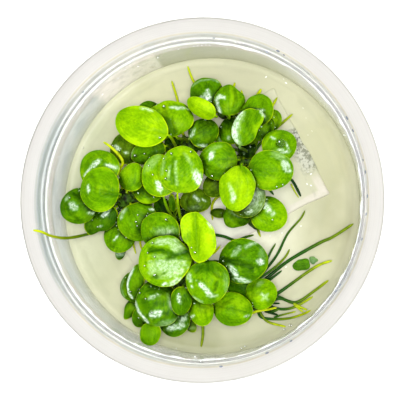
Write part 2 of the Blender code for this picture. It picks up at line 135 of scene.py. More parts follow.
def ramp(value, low, high, toLow=0.0, toHigh=1.0, kind="SMOOTHSTEP"):
    values = {0: value, 1: low, 2: high, 3: toLow, 4: toHigh}
    return feed("MapRange", values, interpolation_type=kind, clamp=True)


def stripe(value, middle, inner, outer, strength):      # a line with soft edges
    return ramp(calc("ABSOLUTE", minus(value, middle)), inner, outer, strength, 0.0)


def blend(factor, first, second, kind="MIX"):
    values = {0: factor, 6: first, 7: second}
    return feed("Mix", values, 2, data_type="RGBA", blend_type=kind, clamp_factor=True)


def cover(colour, *layers):      # lays colours over the first, each through its mask
    for mask, tint in layers:
        colour = blend(mask, colour, tint)
    return colour


def fleck(place, scale, detail=2.0, roughness=0.5):
    return feed("TexNoise", {"Vector": place, "Scale": scale, "Detail": detail, "Roughness": roughness})


def bump(height, strength, depth):
    return feed("Bump", {"Height": height, "Strength": strength, "Distance": depth})


def vector(x=0.0, y=0.0, z=0.0):
    return feed("CombineXYZ", {0: x, 1: y, 2: z})


def shift(place, way):
    return feed("VectorMath", {0: place, 1: way}, operation="ADD")


def distance(place):
    return feed("VectorMath", {0: place}, "Value", operation="LENGTH")


def split(place):
    return add(place.id_data, "SeparateXYZ", {0: place})[:]


def objectPlace(tree):
    return add(tree, "TexCoord")["Object"]


def attribute(tree, name):
    return add(tree, "Attribute", attribute_name=name)["Fac"]


def newGroup(name, inputs, outputs):
    tree = bpy.data.node_groups.new(name, "ShaderNodeTree")
    for way, sockets in (("INPUT", inputs), ("OUTPUT", outputs)):
        for label, kind in sockets.items():
            tree.interface.new_socket(name=label, in_out=way, socket_type="NodeSocket" + kind)
    return tree, tree.nodes.new("NodeGroupInput").outputs, tree.nodes.new("NodeGroupOutput").inputs


def newMaterial(name, colour, values):
    material = bpy.data.materials.new(name)
    material.use_nodes = True
    material.diffuse_color = colour
    shader = material.node_tree.nodes["Principled BSDF"]
    fill(shader.inputs, {"Base Color": colour, **values})
    return material, material.node_tree, shader


# Helpers for meshes
def heading(bearing):      # a level direction
    return Vector((math.cos(math.radians(bearing)), math.sin(math.radians(bearing)), 0.0))


def upOn(spot, out):      # a place on a surface, with its z axis out of it
    return Matrix.Translation(spot) @ out.to_track_quat("Z", "Y").to_matrix().to_4x4()


def finishPiece(name, bm, material, replaced=None, levels=0):      # takes a closed mesh in millimetres
    bmesh.ops.scale(bm, vec=(mm, mm, mm), verts=bm.verts[:])
    mesh = bpy.data.meshes.new(name)
    bm.to_mesh(mesh)
    bm.free()
    mesh.shade_smooth()
    mesh.materials.append(material)
    piece = bpy.data.objects.new(name, mesh)
    bpy.context.scene.collection.objects.link(piece)
    if levels:
        smooth = piece.modifiers.new("Smooth", "SUBSURF")
        smooth.levels = levels
        smooth.render_levels = levels
    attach(piece, "root")
    if replaced:
        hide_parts(replaced)
    return piece


# Leaves: one row a leaf, with its tilt, roll and bearings in degrees. The foot and the rise say where its
# stalk meets the crown. The outline is how far the blade reaches in eight directions, from the tip round the
# left side. Marks are placed by column and row of the frame, and paint highlights, glow and shade on the
# blade.
# A patch then has its half length, half width, bearing and strength, a line of points its width and strength,
# and a drop of water its radius.
leafFields = ("crown", "middle", "bearing", "length", "width", "tilt", "roll", "dome", "fold", "foot", "rise",
              "tint", "outline", "marks")
even = (1,) * 8
leaves = {
    "leaf_01": ("north", (-16, 19.2, 35.5), 160, 14, 10.3, -6, 0, 1.2, 0, 215, 62, "lime",
        (0.97, 1, 1, 1, 1.08, 0.97, 0.95, 0.97), [("shade", 123, 114, 3.4, 2, 150, 0.55),
        ("glow", 133, 142, 5, 1.3, 165, 0.8),
        ("crease", [(167, 133), (157, 132), (147, 131), (138, 128)], 0.35, 0.3),
        ("ridge", [(150, 110), (155, 117), (155, 125), (150, 131)], 0.4, 0.35),
        ("line", [(141, 108), (147, 109), (152, 111)], 0.25, 0.7), ("drop", 160, 138, 0.35)]),
    "leaf_02": ("north", (-9.3, 21, 30.7), 113, 10, 13, -12, 0, 2, 0, 80, 62, "fresh",
        (1.1, 1.25, 1, 0.82, 0.9, 1, 0.93, 1), [("shade", 160, 117, 5.5, 1.1, 135, 0.75),
        ("milk", 178, 108, 2.4, 0.5, 176, 0.8),
        ("crease", [(175, 112), (171, 122), (174, 130)], 0.3, 0.35),
        ("ridge", [(150, 103), (160, 101), (172, 101), (184, 103)], 0.3, 0.7),
        ("glow", 180, 124, 1.6, 2.6, 100, 0.4), ("drop", 164.5, 107, 0.55)]),
    "leaf_03": ("north", (-15, 23.5, 27.2), 140, 6.5, 6, -8, 0, 1, 0, 135, 30, "dark", even, [
        ("shade", 143, 107, 2.5, 1.5, 150, 0.5)]),
    "leaf_04": ("far_east", (-1, 23.5, 32.5), 150, 8.5, 5, -4, -25, 0.8, 0, 200, 30, "lime", even, [
        ("glow", 205, 104, 2.2, 1.2, 150, 0.8), ("shade", 192, 104, 1.4, 1, 150, 0.5),
        ("shade", 208, 114, 1.6, 0.5, 150, 0.5), ("shade", 199, 110, 2, 1.4, 150, 0.12)]),
    "leaf_05": ("north", (-0.5, 18, 29.5), 25, 8, 7, -8, 0, 1.4, 0, 30, 30, "dark",
        (1, 1, 1, 1, 1, 1.1, 1.15, 1.05), [("shade", 204, 127, 2.7, 2, 0, 0.85),
        ("milk", 192.5, 133.5, 1.5, 0.5, 60, 0.8), ("milk", 202, 145, 1.3, 0.3, 0, 0.95),
        ("glow", 208, 140, 2.4, 1, 20, 0.35)]),
    "leaf_06": ("west", (-21, 14.5, 26.5), 96, 8.5, 8.5, -8, 0, 1.2, 0, 72, 30, "olive", even, [
        ("milk", 117, 148, 1.2, 0.7, 140, 0.85), ("milk", 126, 153, 0.5, 0.4, 0, 0.8),
        ("shade", 118, 141, 2, 1.2, 130, 0.3), ("drop", 120, 151, 0.3), ("drop", 113, 146, 0.3)]),
    "leaf_07": ("north", (-15, 13, 29), 197, 9.5, 6.5, -8, 0, 1.2, 0, 185, 30, "dark", even, [
        ("haze", 130.5, 150, 2.2, 0.8, 80, 0.75), ("drop", 135.5, 156, 0.5), ("drop", 145, 154, 0.35),
        ("glow", 150, 150, 2.4, 0.8, 20, 0.25)]),
    "leaf_08": ("west", (-27.3, 9, 31.5), 128, 10.7, 10.7, -10, 0, 1.6, 0, 135, 30, "mid",
        (0.93, 0.98, 1, 1, 1, 1, 0.95, 0.9), [("milk", 95, 164.5, 1.6, 0.7, 35, 0.95),
        ("line", [(93, 166), (88, 171), (84.5, 176)], 0.3, 0.85),
        ("milk", 112, 166.5, 1.8, 0.55, 168, 0.95),
        ("crease", [(84, 170), (89, 158), (100, 154)], 0.4, 0.3), ("shade", 86, 166, 1.2, 2, 120, 0.5)]),
    "leaf_09": ("west", (-26.5, 3, 35), 168, 10.5, 11, -8, 0, 1.8, 0, 190, 62, "mid",
        (1, 1, 1, 1, 1, 1, 1.1, 1.05), [("milk", 88.5, 189, 1.1, 0.45, 95, 0.95),
        ("ridge", [(83, 174), (90, 168), (100, 166.5), (112, 170)], 0.45, 0.8),
        ("crease", [(118, 195), (110, 194), (103, 192)], 0.4, 0.6),
        ("crease", [(91, 174), (96, 183), (95, 194)], 0.4, 0.35),
        ("crease", [(100, 172), (104, 180), (103, 188)], 0.35, 0.25),
        ("glow", 104, 208.5, 2.4, 0.6, 8, 0.95), ("shade", 108, 178, 2, 2, 0, 0.25)]),
    "leaf_10": ("west", (-33, -1, 31), 192, 10, 9.5, -10, 0, 1.6, 0, 180, 30, "dark",
        (0.95, 0.95, 0.95, 1, 1, 1, 1, 0.98), [("milk", 73.5, 206, 1.3, 0.9, 140, 0.8),
        ("milk", 67, 198, 0.8, 0.5, 60, 0.6), ("crease", [(73, 194), (79, 198)], 0.35, 0.9),
        ("milk", 90.5, 213, 0.9, 0.4, 0, 0.7), ("crease", [(66, 203), (69, 213), (77, 219)], 0.35, 0.4),
        ("drop", 70, 198, 0.3), ("glow", 86, 217, 1.5, 0.8, 30, 0.4)]),
    "leaf_11": ("west", (-27.1, -4.3, 26.7), 222, 9.5, 6.5, -10, 0, 1.4, 0, 222, 30, "deep",
        (1.15, 0.75, 0.9, 1, 1, 1, 1.15, 1.3), [("milk", 106, 213.5, 1.5, 0.7, 45, 1),
        ("milk", 101, 226.5, 0.6, 0.3, 20, 0.9), ("glow", 95, 224, 1.6, 2.4, 120, 0.9),
        ("glow", 107, 222, 1.2, 1, 60, 0.7), ("shade", 110, 206, 2, 1, 60, 0.5), ("drop", 98, 227, 0.3)]),
    "leaf_12": ("west", (-18.5, 6.5, 32), 70, 7.5, 6.5, -6, 0, 1.2, 0, 50, 62, "fresh", even, [
        ("shade", 136, 184, 1.2, 0.9, 0, 0.7), ("glow", 127, 172, 1.6, 2.2, 60, 0.4),
        ("crease", [(133, 166), (135, 175), (132, 184)], 0.3, 0.25)]),
    "leaf_13": ("middle", (-11.2, 6.7, 33.5), 100, 11, 9.5, -4, 0, 1.4, 0, 105, 30, "fresh", even, [
        ("haze", 152, 163, 2.6, 1.2, 50, 0.6), ("milk", 159, 186, 1.6, 0.85, 110, 0.95),
        ("shade", 147, 176, 0.8, 2, 90, 0.3), ("drop", 153, 175, 0.35), ("drop", 154.5, 197.5, 0.35),
        ("drop", 149, 166, 0.3)]),
    "leaf_14": ("middle", (-5.5, 8, 36), 82, 12, 11.5, -4, 0, 1.8, 0, 80, 62, "fresh",
        (1, 1, 0.98, 1, 1, 1.06, 0.98, 0.98), [("haze", 163, 166, 2.6, 0.5, 80, 0.6),
        ("milk", 169, 173, 2.2, 0.22, 82, 0.6), ("line", [(176, 162), (176, 172), (177, 184)], 0.3, 0.5),
        ("crease", [(173, 158), (171.5, 168), (173, 182)], 0.45, 0.6),
        ("haze", 189, 160, 2, 0.5, 125, 0.7), ("milk", 197, 177, 2.2, 1.05, 112, 0.97),
        ("crease", [(182, 156), (184, 168), (183, 182)], 0.3, 0.25), ("glow", 186, 190, 3, 0.8, 15, 0.5),
        ("drop", 171.7, 154, 0.4), ("drop", 166.7, 171, 0.35), ("shade", 166, 179, 0.5, 0.4, 0, 0.9),
        ("drop", 166, 179, 0.4), ("drop", 164, 159, 0.3), ("drop", 191, 152, 0.3)]),
    "leaf_15": ("far_east", (-0.5, 28.3, 27.8), 128, 9, 8.5, -10, 0, 1.4, 0, 145, 30, "dark",
        (0.93, 0.95, 1, 1, 1, 1, 1.1, 0.95), [("milk", 204.5, 99, 1.9, 1, 62, 0.85),
        ("milk", 208.5, 95, 1.6, 0.6, 100, 0.85), ("milk", 201, 98, 1.1, 0.45, 40, 0.75),
        ("shade", 196, 92, 2, 1.6, 60, 0.4),
        ("line", [(192, 86), (200, 80.5), (212, 78.5), (219, 82)], 0.2, 0.5),
        ("shade", 214, 92, 0.9, 2.4, 10, 0.4)]),
    "leaf_16": ("far_east", (6, 26.3, 30.2), 92, 8.8, 8, -8, 0, 1.4, 0, 280, 62, "mid",
        (0.88, 0.88, 1, 1, 1, 1, 1.03, 0.8), [("milk", 219, 97, 1.3, 0.6, 40, 0.9),
        ("milk", 222.8, 97, 0.9, 0.5, 150, 0.85),
        ("line", [(217, 99), (217.5, 105), (220, 113)], 0.35, 0.85),
        ("ridge", [(231, 87), (233, 96), (232, 105)], 0.4, 0.6),
        ("crease", [(234.5, 90), (236.5, 98), (234, 107)], 0.35, 0.5),
        ("shade", 226, 88, 1.4, 0.8, 40, 0.4)]),
    "leaf_17": ("far_east", (13, 23.5, 31.9), 65, 8.5, 8.5, -8, 0, 1.4, 0, 325, 30, "mid",
        (1, 0.83, 0.72, 0.9, 1, 1.05, 1.1, 1.08), [("milk", 258, 111, 1.6, 0.35, 12, 0.85),
        ("milk", 264, 116, 0.7, 0.3, 110, 0.7), ("shade", 250, 106, 2, 1, 60, 0.3),
        ("crease", [(262, 99), (263, 106)], 0.3, 0.25)]),
    "leaf_18": ("east", (11, 18.5, 34.6), 68, 10, 7, -4, 0, 1.2, 22, 75, 62, "mid",
        (1, 1, 1, 1, 1, 0.95, 0.85, 1.22), [
        ("line", [(240, 114), (236, 122), (234.5, 131), (235, 140), (237, 146)], 0.95, 0.75),
        ("crease", [(249, 112), (247, 121), (249, 129), (253, 138)], 0.5, 0.55),
        ("ridge", [(264, 115), (262, 122), (257, 129), (257, 137)], 0.4, 0.9),
        ("ridge", [(243, 114), (241, 122), (240, 133)], 0.35, 0.5),
        ("milk", 261.5, 112, 1.1, 0.4, 120, 0.75), ("shade", 246, 146, 3, 0.9, 0, 0.7),
        ("shade", 256, 118, 1.6, 0.9, 60, 0.5), ("shade", 247, 130, 2, 3.4, 0, 0.3)]),
    "leaf_19": ("east", (15, 18.5, 30), 55, 7, 5, -6, 0, 1, 0, 80, 30, "dark",
        (0.93, 0.95, 1, 1, 1, 0.95, 0.93, 0.93), [
        ("crease", [(268, 118), (272, 126), (271, 134)], 0.35, 0.7),
        ("ridge", [(270.5, 121), (273.5, 128), (272, 135)], 0.35, 0.9),
        ("glow", 264, 126, 2.4, 1.4, 80, 0.9), ("shade", 262, 138, 2, 1, 60, 0.6)]),
    "leaf_20": ("east", (16.5, 21, 27.5), 48, 6, 5.5, -6, 0, 0.8, 0, 50, 30, "mid", even, [
        ("crease", [(276, 114), (279, 121), (276, 128)], 0.3, 0.5), ("glow", 275, 119, 2, 2.4, 100, 0.9)]),
    "leaf_21": ("east", (19, 14, 32), 30, 9, 8.5, -8, 0, 1.6, 0, 12, 30, "mid", even, [
        ("milk", 285, 152.5, 1.3, 0.4, 15, 0.95),
        ("ridge", [(263, 146), (268, 137), (276, 132)], 0.3, 0.7),
        ("crease", [(282, 134), (289, 140), (291, 150)], 0.35, 0.35),
        ("milk", 274, 138.5, 0.9, 0.3, 150, 0.9), ("milk", 287.5, 146, 1, 0.3, 110, 0.95),
        ("milk", 281, 150, 1, 0.3, 10, 0.8), ("shade", 280, 143.5, 1.4, 1, 30, 0.5),
        ("drop", 280.5, 143.5, 1.3)]),
    "leaf_22": ("east", (17, 7.5, 35), -7, 11.4, 10, -6, 0, 1.8, 0, 335, 30, "mid",
        (1, 1.05, 1, 1, 1, 1, 1.02, 1), [("haze", 279, 156, 2.2, 1.1, 150, 0.75),
        ("milk", 286, 166, 2, 0.9, 115, 0.8), ("crease", [(251, 165), (262, 172), (274, 176)], 0.4, 0.4),
        ("crease", [(258, 158), (266, 163), (272, 170)], 0.3, 0.25), ("glow", 266, 184, 3, 0.9, 165, 0.6),
        ("shade", 262, 168, 2.4, 1.2, 150, 0.3), ("drop", 283, 185, 0.25), ("drop", 277, 187, 0.25)]),
    "leaf_23": ("east", (2.9, 10.2, 33), 181, 9.5, 9.5, -6, 0, 1.6, 0, 165, 62, "mid",
        (1, 1, 1.04, 1, 1.15, 1.1, 1, 0.95), [("milk", 211.5, 156, 1.5, 0.7, 62, 0.97),
        ("haze", 215, 148, 1.8, 0.6, 20, 0.5), ("shade", 214.5, 175, 1.9, 1, 20, 0.6),
        ("shade", 228, 152, 1.6, 2, 45, 0.35), ("crease", [(205, 165), (212, 170), (221, 172)], 0.35, 0.4),
        ("drop", 212, 176, 0.3), ("glow", 226, 166, 1.6, 1, 30, 0.3)]),
    "leaf_24": ("east", (9, 3.5, 37), 262, 12, 9.5, -6, 0, 1.8, 0, 262, 62, "lime",
        (1.08, 1, 0.88, 0.8, 0.84, 0.82, 1.05, 1.12), [("glow", 242, 192, 3.6, 2.6, 85, 0.5),
        ("shade", 240, 185, 5, 4.4, 85, 0.2), ("milk", 231.5, 190, 1.5, 0.55, 105, 0.75),
        ("milk", 233.5, 198, 1.2, 0.7, 75, 0.95), ("haze", 255, 180, 1.8, 0.4, 110, 0.7),
        ("crease", [(239, 163), (243, 169), (246, 172)], 0.5, 0.9), ("shade", 243, 174, 1.8, 0.8, 60, 0.4),
        ("crease", [(245, 176), (247, 188), (243, 200)], 0.35, 0.3)]),
    "leaf_25": ("east", (10.5, 0.5, 33.2), 275, 10, 10, -12, 0, 1.6, 0, 290, 30, "olive", even, [
        ("haze", 257, 200, 4, 2.6, 60, 0.85), ("milk", 249, 212, 1.2, 0.5, 30, 0.8)]),
    "leaf_26": ("near_east", (6.9, -3, 27.8), 240, 7.5, 7, -10, 0, 1.2, 0, 140, 30, "dark",
        (1, 1, 1.25, 1, 1, 1, 0.7, 0.85), [("haze", 236, 214, 1.6, 0.6, 160, 0.5),
        ("glow", 232, 221, 2, 1.4, 140, 0.8), ("crease", [(230, 216), (236, 222), (241, 224)], 0.35, 0.4)]),
    "leaf_27": ("near_east", (16.2, -3.3, 30.2), -22, 9.5, 9, -8, 0, 1.6, 0, 100, 62, "fresh", even, [
        ("milk", 268, 208, 1.5, 0.85, 120, 0.9), ("milk", 273, 213.5, 0.7, 0.6, 0, 0.75),
        ("crease", [(255, 210), (262, 219), (272, 224)], 0.4, 0.3), ("glow", 280, 205, 1, 2.4, 160, 0.3),
        ("drop", 272.5, 220, 0.3)]),
    "leaf_28": ("east", (6.3, 18, 27), 112, 6, 6.5, -6, 0, 1, 0, 115, 30, "dark",
        (1.35, 1.2, 1, 1, 1, 1, 1, 1.35), [("shade", 228, 128, 2.4, 2.2, 0, 0.4),
        ("milk", 229, 138, 0.5, 0.4, 0, 0.8), ("crease", [(226, 121), (231, 128), (236, 131)], 0.35, 0.4)]),
    "leaf_29": ("east", (2, 4, 29.5), 215, 6, 6, -8, 0, 1, 0, 215, 30, "olive", even, [
        ("glow", 213, 184, 1.2, 0.5, 0, 0.4), ("shade", 216, 191, 1.5, 0.7, 10, 0.6)]),
    "leaf_30": ("middle", (-3, 0.8, 26.5), 88, 6.5, 8, -6, 0, 1.2, 0, 55, 30, "olive", even, [
        ("line", [(194.5, 196), (198.5, 200.5)], 0.35, 0.8), ("milk", 204, 200, 0.6, 0.3, 150, 0.85),
        ("haze", 195, 208, 1.8, 0.5, 0, 0.4), ("crease", [(190, 195), (186, 203), (190, 209)], 0.35, 0.5),
        ("glow", 203, 193, 2.2, 0.6, 10, 0.5)]),
    "leaf_31": ("west", (-14.5, 4, 29.5), 8, 8.5, 8.5, -6, 0, 1.4, 0, 0, 30, "fresh", even, [
        ("glow", 146, 202, 2.6, 0.8, 170, 0.6), ("crease", [(142, 190), (148, 197), (158, 199)], 0.3, 0.3),
        ("drop", 154, 197.5, 0.3)]),
    "leaf_32": ("west", (-17.5, -5, 28.3), -68, 10, 10.5, -10, 0, 1.8, 0, 305, 30, "mid", even, [
        ("line", [(121, 218), (122, 213), (125.5, 209)], 0.35, 0.65),
        ("milk", 151, 209, 0.9, 0.35, 0, 0.95), ("milk", 151.5, 214.5, 0.7, 0.25, 20, 0.85),
        ("shade", 138, 228, 0.8, 1.8, 0, 0.85), ("crease", [(127, 209), (131, 221), (138, 231)], 0.4, 0.4),
        ("shade", 141, 214, 3, 1.2, 160, 0.35), ("drop", 136, 222, 0.35), ("drop", 137.5, 226, 0.3),
        ("drop", 138, 215, 0.3), ("drop", 147, 216, 0.3)]),
    "leaf_33": ("middle", (-11.6, -7.5, 32), 146, 10.5, 10, -6, -8, 1.4, 0, 150, 30, "mid", even, [
        ("haze", 166, 231, 3.2, 1, 0, 0.8), ("shade", 150, 222, 1.6, 1.4, 45, 0.5),
        ("shade", 175, 223, 2.2, 0.9, 150, 0.3), ("drop", 166.7, 220, 0.5),
        ("crease", [(147, 229), (155, 222), (170, 219)], 0.4, 0.3)]),
    "leaf_34": ("middle", (-10.7, -15, 35.2), 184, 12.5, 13, -6, 0, 1.6, 0, 190, 62, "fresh",
        (0.95, 1, 1, 1.05, 1.25, 1.06, 0.96, 0.97), [("milk", 166, 241.5, 3.2, 0.95, 5, 0.66),
        ("milk", 177, 248.5, 1.8, 1.3, 160, 0.62),
        ("crease", [(150, 249.5), (160, 250.3), (170.5, 253.5)], 0.6, 0.95),
        ("crease", [(168, 258), (177, 254.5), (185.5, 251.5)], 0.55, 0.95),
        ("haze", 160, 256, 2.2, 0.6, 0, 0.6), ("milk", 168, 268, 4, 2.5, 8, 0.66),
        ("milk", 153, 268, 1.2, 2, 0, 0.55), ("shade", 180, 252, 1.6, 1.0, 40, 0.5),
        ("milk", 174, 282, 2, 0.7, 30, 0.8), ("shade", 155.5, 276.5, 1.5, 0.9, 30, 1),
        ("shade", 163, 274, 1.3, 0.35, 25, 1), ("milk", 164.5, 284, 1, 0.4, 20, 0.95),
        ("glow", 143, 262, 3, 0.6, 95, 0.6), ("drop", 155, 275.5, 0.5), ("drop", 153, 243, 0.35),
        ("drop", 148, 253, 0.3), ("drop", 155, 257, 0.3), ("drop", 145, 266, 0.3)]),
    "leaf_35": ("west", (-23, -8.5, 25), 245, 8.5, 8.5, -8, 0, 1.4, 0, 262, 30, "mid", even, [
        ("milk", 116.5, 238, 1, 0.28, 45, 0.95),
        ("line", [(106, 229), (112, 225), (116, 221.5)], 0.25, 0.75),
        ("crease", [(112, 232), (109, 242), (113, 249)], 0.35, 0.3), ("glow", 124, 243, 1.6, 1, 40, 0.3)]),
    "leaf_36": ("middle", (-1.4, -8.3, 37), 94, 10.4, 8.5, 6, 0, 0.6, 22, 10, 62, "lime",
        (1.04, 1.15, 0.87, 0.72, 1.43, 1.3, 1.09, 0.93), [("glow", 209, 245, 4.4, 1.6, 100, 0.8),
        ("glow", 187, 222, 1.4, 2.4, 90, 0.5),
        ("crease", [(194.5, 216), (195.5, 232), (197, 243), (195.5, 252)], 0.55, 0.6),
        ("milk", 210, 225, 1, 0.35, 125, 0.75), ("shade", 188, 238, 1.6, 0.9, 130, 0.4),
        ("shade", 202, 236, 0.7, 2.4, 5, 0.3), ("drop", 191.7, 247.8, 0.3), ("drop", 195, 252.5, 0.4)]),
    "leaf_37": ("middle", (1.1, -20.4, 35.7), 270, 11, 11, -4, 0, 1.8, 0, 290, 30, "mid", even, [
        ("shade", 205, 268, 4.5, 1.2, 175, 0.85),
        ("crease", [(207, 263), (213, 271), (219, 277)], 0.4, 0.7),
        ("crease", [(201, 265), (196, 273)], 0.35, 0.7), ("crease", [(217, 282), (215.5, 290)], 0.35, 0.8),
        ("milk", 189.5, 277.5, 1.3, 0.7, 115, 0.75), ("milk", 205.5, 289, 2.4, 0.65, 135, 0.97),
        ("milk", 212, 296, 1.2, 0.5, 0, 0.6), ("milk", 191.5, 286.5, 0.6, 0.28, 130, 0.85),
        ("haze", 226, 284, 2.6, 0.6, 95, 0.5), ("line", [(193, 297), (202, 302)], 0.2, 0.6)]),
    "leaf_38": ("middle", (10, -15, 32.5), 0, 12, 11.5, -6, 0, 1.8, 0, 325, 30, "dark",
        (1.03, 1.02, 1, 1, 1.05, 1, 1, 1), [
        ("crease", [(220, 259), (230, 261), (240, 263), (251, 267)], 0.65, 0.9),
        ("milk", 236.5, 251.5, 1.6, 0.65, 50, 0.6),
        ("line", [(246, 247), (253, 243), (261, 241)], 0.35, 0.65), ("milk", 260, 262, 1, 0.9, 0, 1),
        ("milk", 234, 271, 2.2, 0.7, 125, 0.9), ("milk", 242, 280, 2.2, 0.7, 165, 0.85),
        ("haze", 262, 254, 0.8, 2.4, 0, 0.4), ("shade", 243, 255, 2, 0.8, 30, 0.5),
        ("shade", 247, 273, 2.4, 1.2, 140, 0.4),
        ("crease", [(243, 263), (249, 273), (250, 281)], 0.35, 0.3)]),
    "leaf_39": ("south", (-12.7, -26.3, 31.3), 232, 12.5, 12.5, -6, 0, 2, 0, 215, 62, "dark",
        (0.8, 0.87, 1, 1, 1, 1, 0.9, 0.86), [("milk", 153, 297, 1.6, 0.5, 25, 0.8),
        ("line", [(133.5, 299), (138, 311), (147, 322)], 0.32, 0.97),
        ("milk", 156, 314, 1.8, 0.95, 10, 0.95), ("glow", 165, 297, 2, 1.2, 20, 0.6),
        ("glow", 140, 308, 1, 2.4, 20, 0.5), ("haze", 171, 304, 2.2, 0.7, 110, 0.6),
        ("haze", 167, 323, 2.6, 0.9, 15, 0.7), ("shade", 147, 304, 1.4, 2.4, 30, 0.6),
        ("shade", 167, 314.5, 1.3, 1, 0, 0.6), ("shade", 160, 303, 2, 0.7, 20, 0.5),
        ("glow", 164, 316, 0.8, 0.6, 0, 0.6), ("drop", 152.5, 313, 0.4), ("drop", 146, 299, 0.35),
        ("drop", 140, 293, 0.25)]),
    "leaf_40": ("south", (-5.8, -25.1, 33.3), 262, 7.5, 5.5, -12, 0, 1.2, 0, 290, 62, "dark", even, [
        ("milk", 179, 299, 1.5, 0.5, 100, 0.9), ("shade", 186, 303, 1, 2, 0, 0.5), ("drop", 179, 294, 0.3)]),
    "leaf_41": ("south", (-1, -27.5, 31.1), 282, 8, 6.5, -8, 0, 1.4, 0, 300, 30, "fresh", even, [
        ("milk", 192.5, 316.5, 0.8, 0.35, 45, 0.95), ("glow", 201, 314, 2, 1.6, 80, 0.4),
        ("shade", 202, 303, 2, 0.6, 0, 0.4)]),
    "leaf_42": ("south", (7, -27, 29.6), -12, 10, 8.5, -6, 0, 1.6, 0, 340, 30, "mid",
        (1, 1, 1, 1, 1, 1, 1.04, 1.02), [("milk", 247, 316, 0.7, 0.35, 20, 0.8),
        ("drop", 246.5, 316.5, 0.35), ("glow", 234, 302, 2.6, 1, 170, 0.4),
        ("crease", [(217, 305), (226, 309), (238, 311)], 0.35, 0.3), ("shade", 232, 321, 3, 0.7, 175, 0.4)]),
    "leaf_43": ("south_east", (14, -23, 27.5), 25, 8, 8, -6, 0, 1.4, 0, 200, 62, "fresh", even, [
        ("haze", 260, 283.5, 1.2, 0.5, 30, 0.7), ("line", [(262, 294), (268, 300)], 0.25, 0.5),
        ("line", [(268, 294), (262, 300)], 0.25, 0.5), ("shade", 270, 302, 1.6, 1, 40, 0.7),
        ("shade", 252, 292, 1.2, 1.6, 60, 0.4), ("glow", 259, 298, 1.6, 1, 150, 0.5)]),
    "leaf_44": ("south_east", (8.2, -21.3, 25.6), 170, 7, 6, -6, 0, 1, 0, 120, 30, "deep", even, [
        ("milk", 250.5, 287, 0.5, 0.5, 0, 0.9)]),
    "leaf_45": ("south", (-19.5, -21.5, 25.4), 195, 7, 8, -6, 0, 1.2, 0, 178, 30, "dark",
        (0.95, 0.95, 1, 1, 1, 1, 1, 0.95), [("line", [(123, 278), (121, 288), (124, 297)], 0.25, 0.35),
        ("glow", 127, 288, 1.6, 3, 0, 0.7), ("shade", 124, 286, 1.2, 2, 0, 0.3)]),
    "leaf_46": ("middle", (-18, -20, 28.4), 255, 9.5, 5.2, -6, 25, 0.8, 15, 225, 30, "dark", even, [
        ("line", [(133, 268), (129.5, 277), (127.3, 285.5), (128.5, 293), (132.5, 298)], 0.28, 0.95),
        ("drop", 131, 292, 0.35), ("glow", 135, 281, 3.4, 1.4, 75, 0.7)]),
    "leaf_47": ("south", (-20, -27, 23.1), 235, 5.5, 4, -8, 0, 0.8, 0, 195, 10, "dark",
        (1.2, 0.9, 1, 1, 1, 1, 1, 0.9), [("shade", 129, 314, 1.2, 0.8, 60, 0.3),
        ("glow", 131, 308, 2, 1.2, 60, 0.8)]),
    "leaf_48": ("south", (-17, -29, 25.8), 235, 6, 5, -8, 0, 0.8, 0, 220, 10, "dark", even, [
        ("drop", 139, 318, 0.3), ("shade", 140, 322, 1.2, 1.2, 0, 0.4)]),
    "leaf_49": ("south", (-14.2, -33.1, 28.9), 262, 5.6, 5.4, 2, 0, 1, 0, 212, 36, "mid",
        (1.12, 1.1, 1, 1, 1, 1, 1.02, 1.15), [("glow", 150, 332, 1.4, 1, 60, 0.2),
        ("shade", 147, 336, 2.4, 2, 150, 0.25), ("shade", 143, 342, 2, 0.7, 150, 0.6)]),
    "leaf_50": ("south", (-8.6, -30.2, 26.4), 255, 8.4, 8.2, -12, 0, 1.4, 0, 265, 30, "dark", even, [
        ("milk", 176, 327, 2.6, 0.8, 15, 0.85), ("milk", 183, 320, 1.6, 0.6, 50, 0.75),
        ("shade", 172, 334, 3, 0.5, 10, 0.5)]),
}
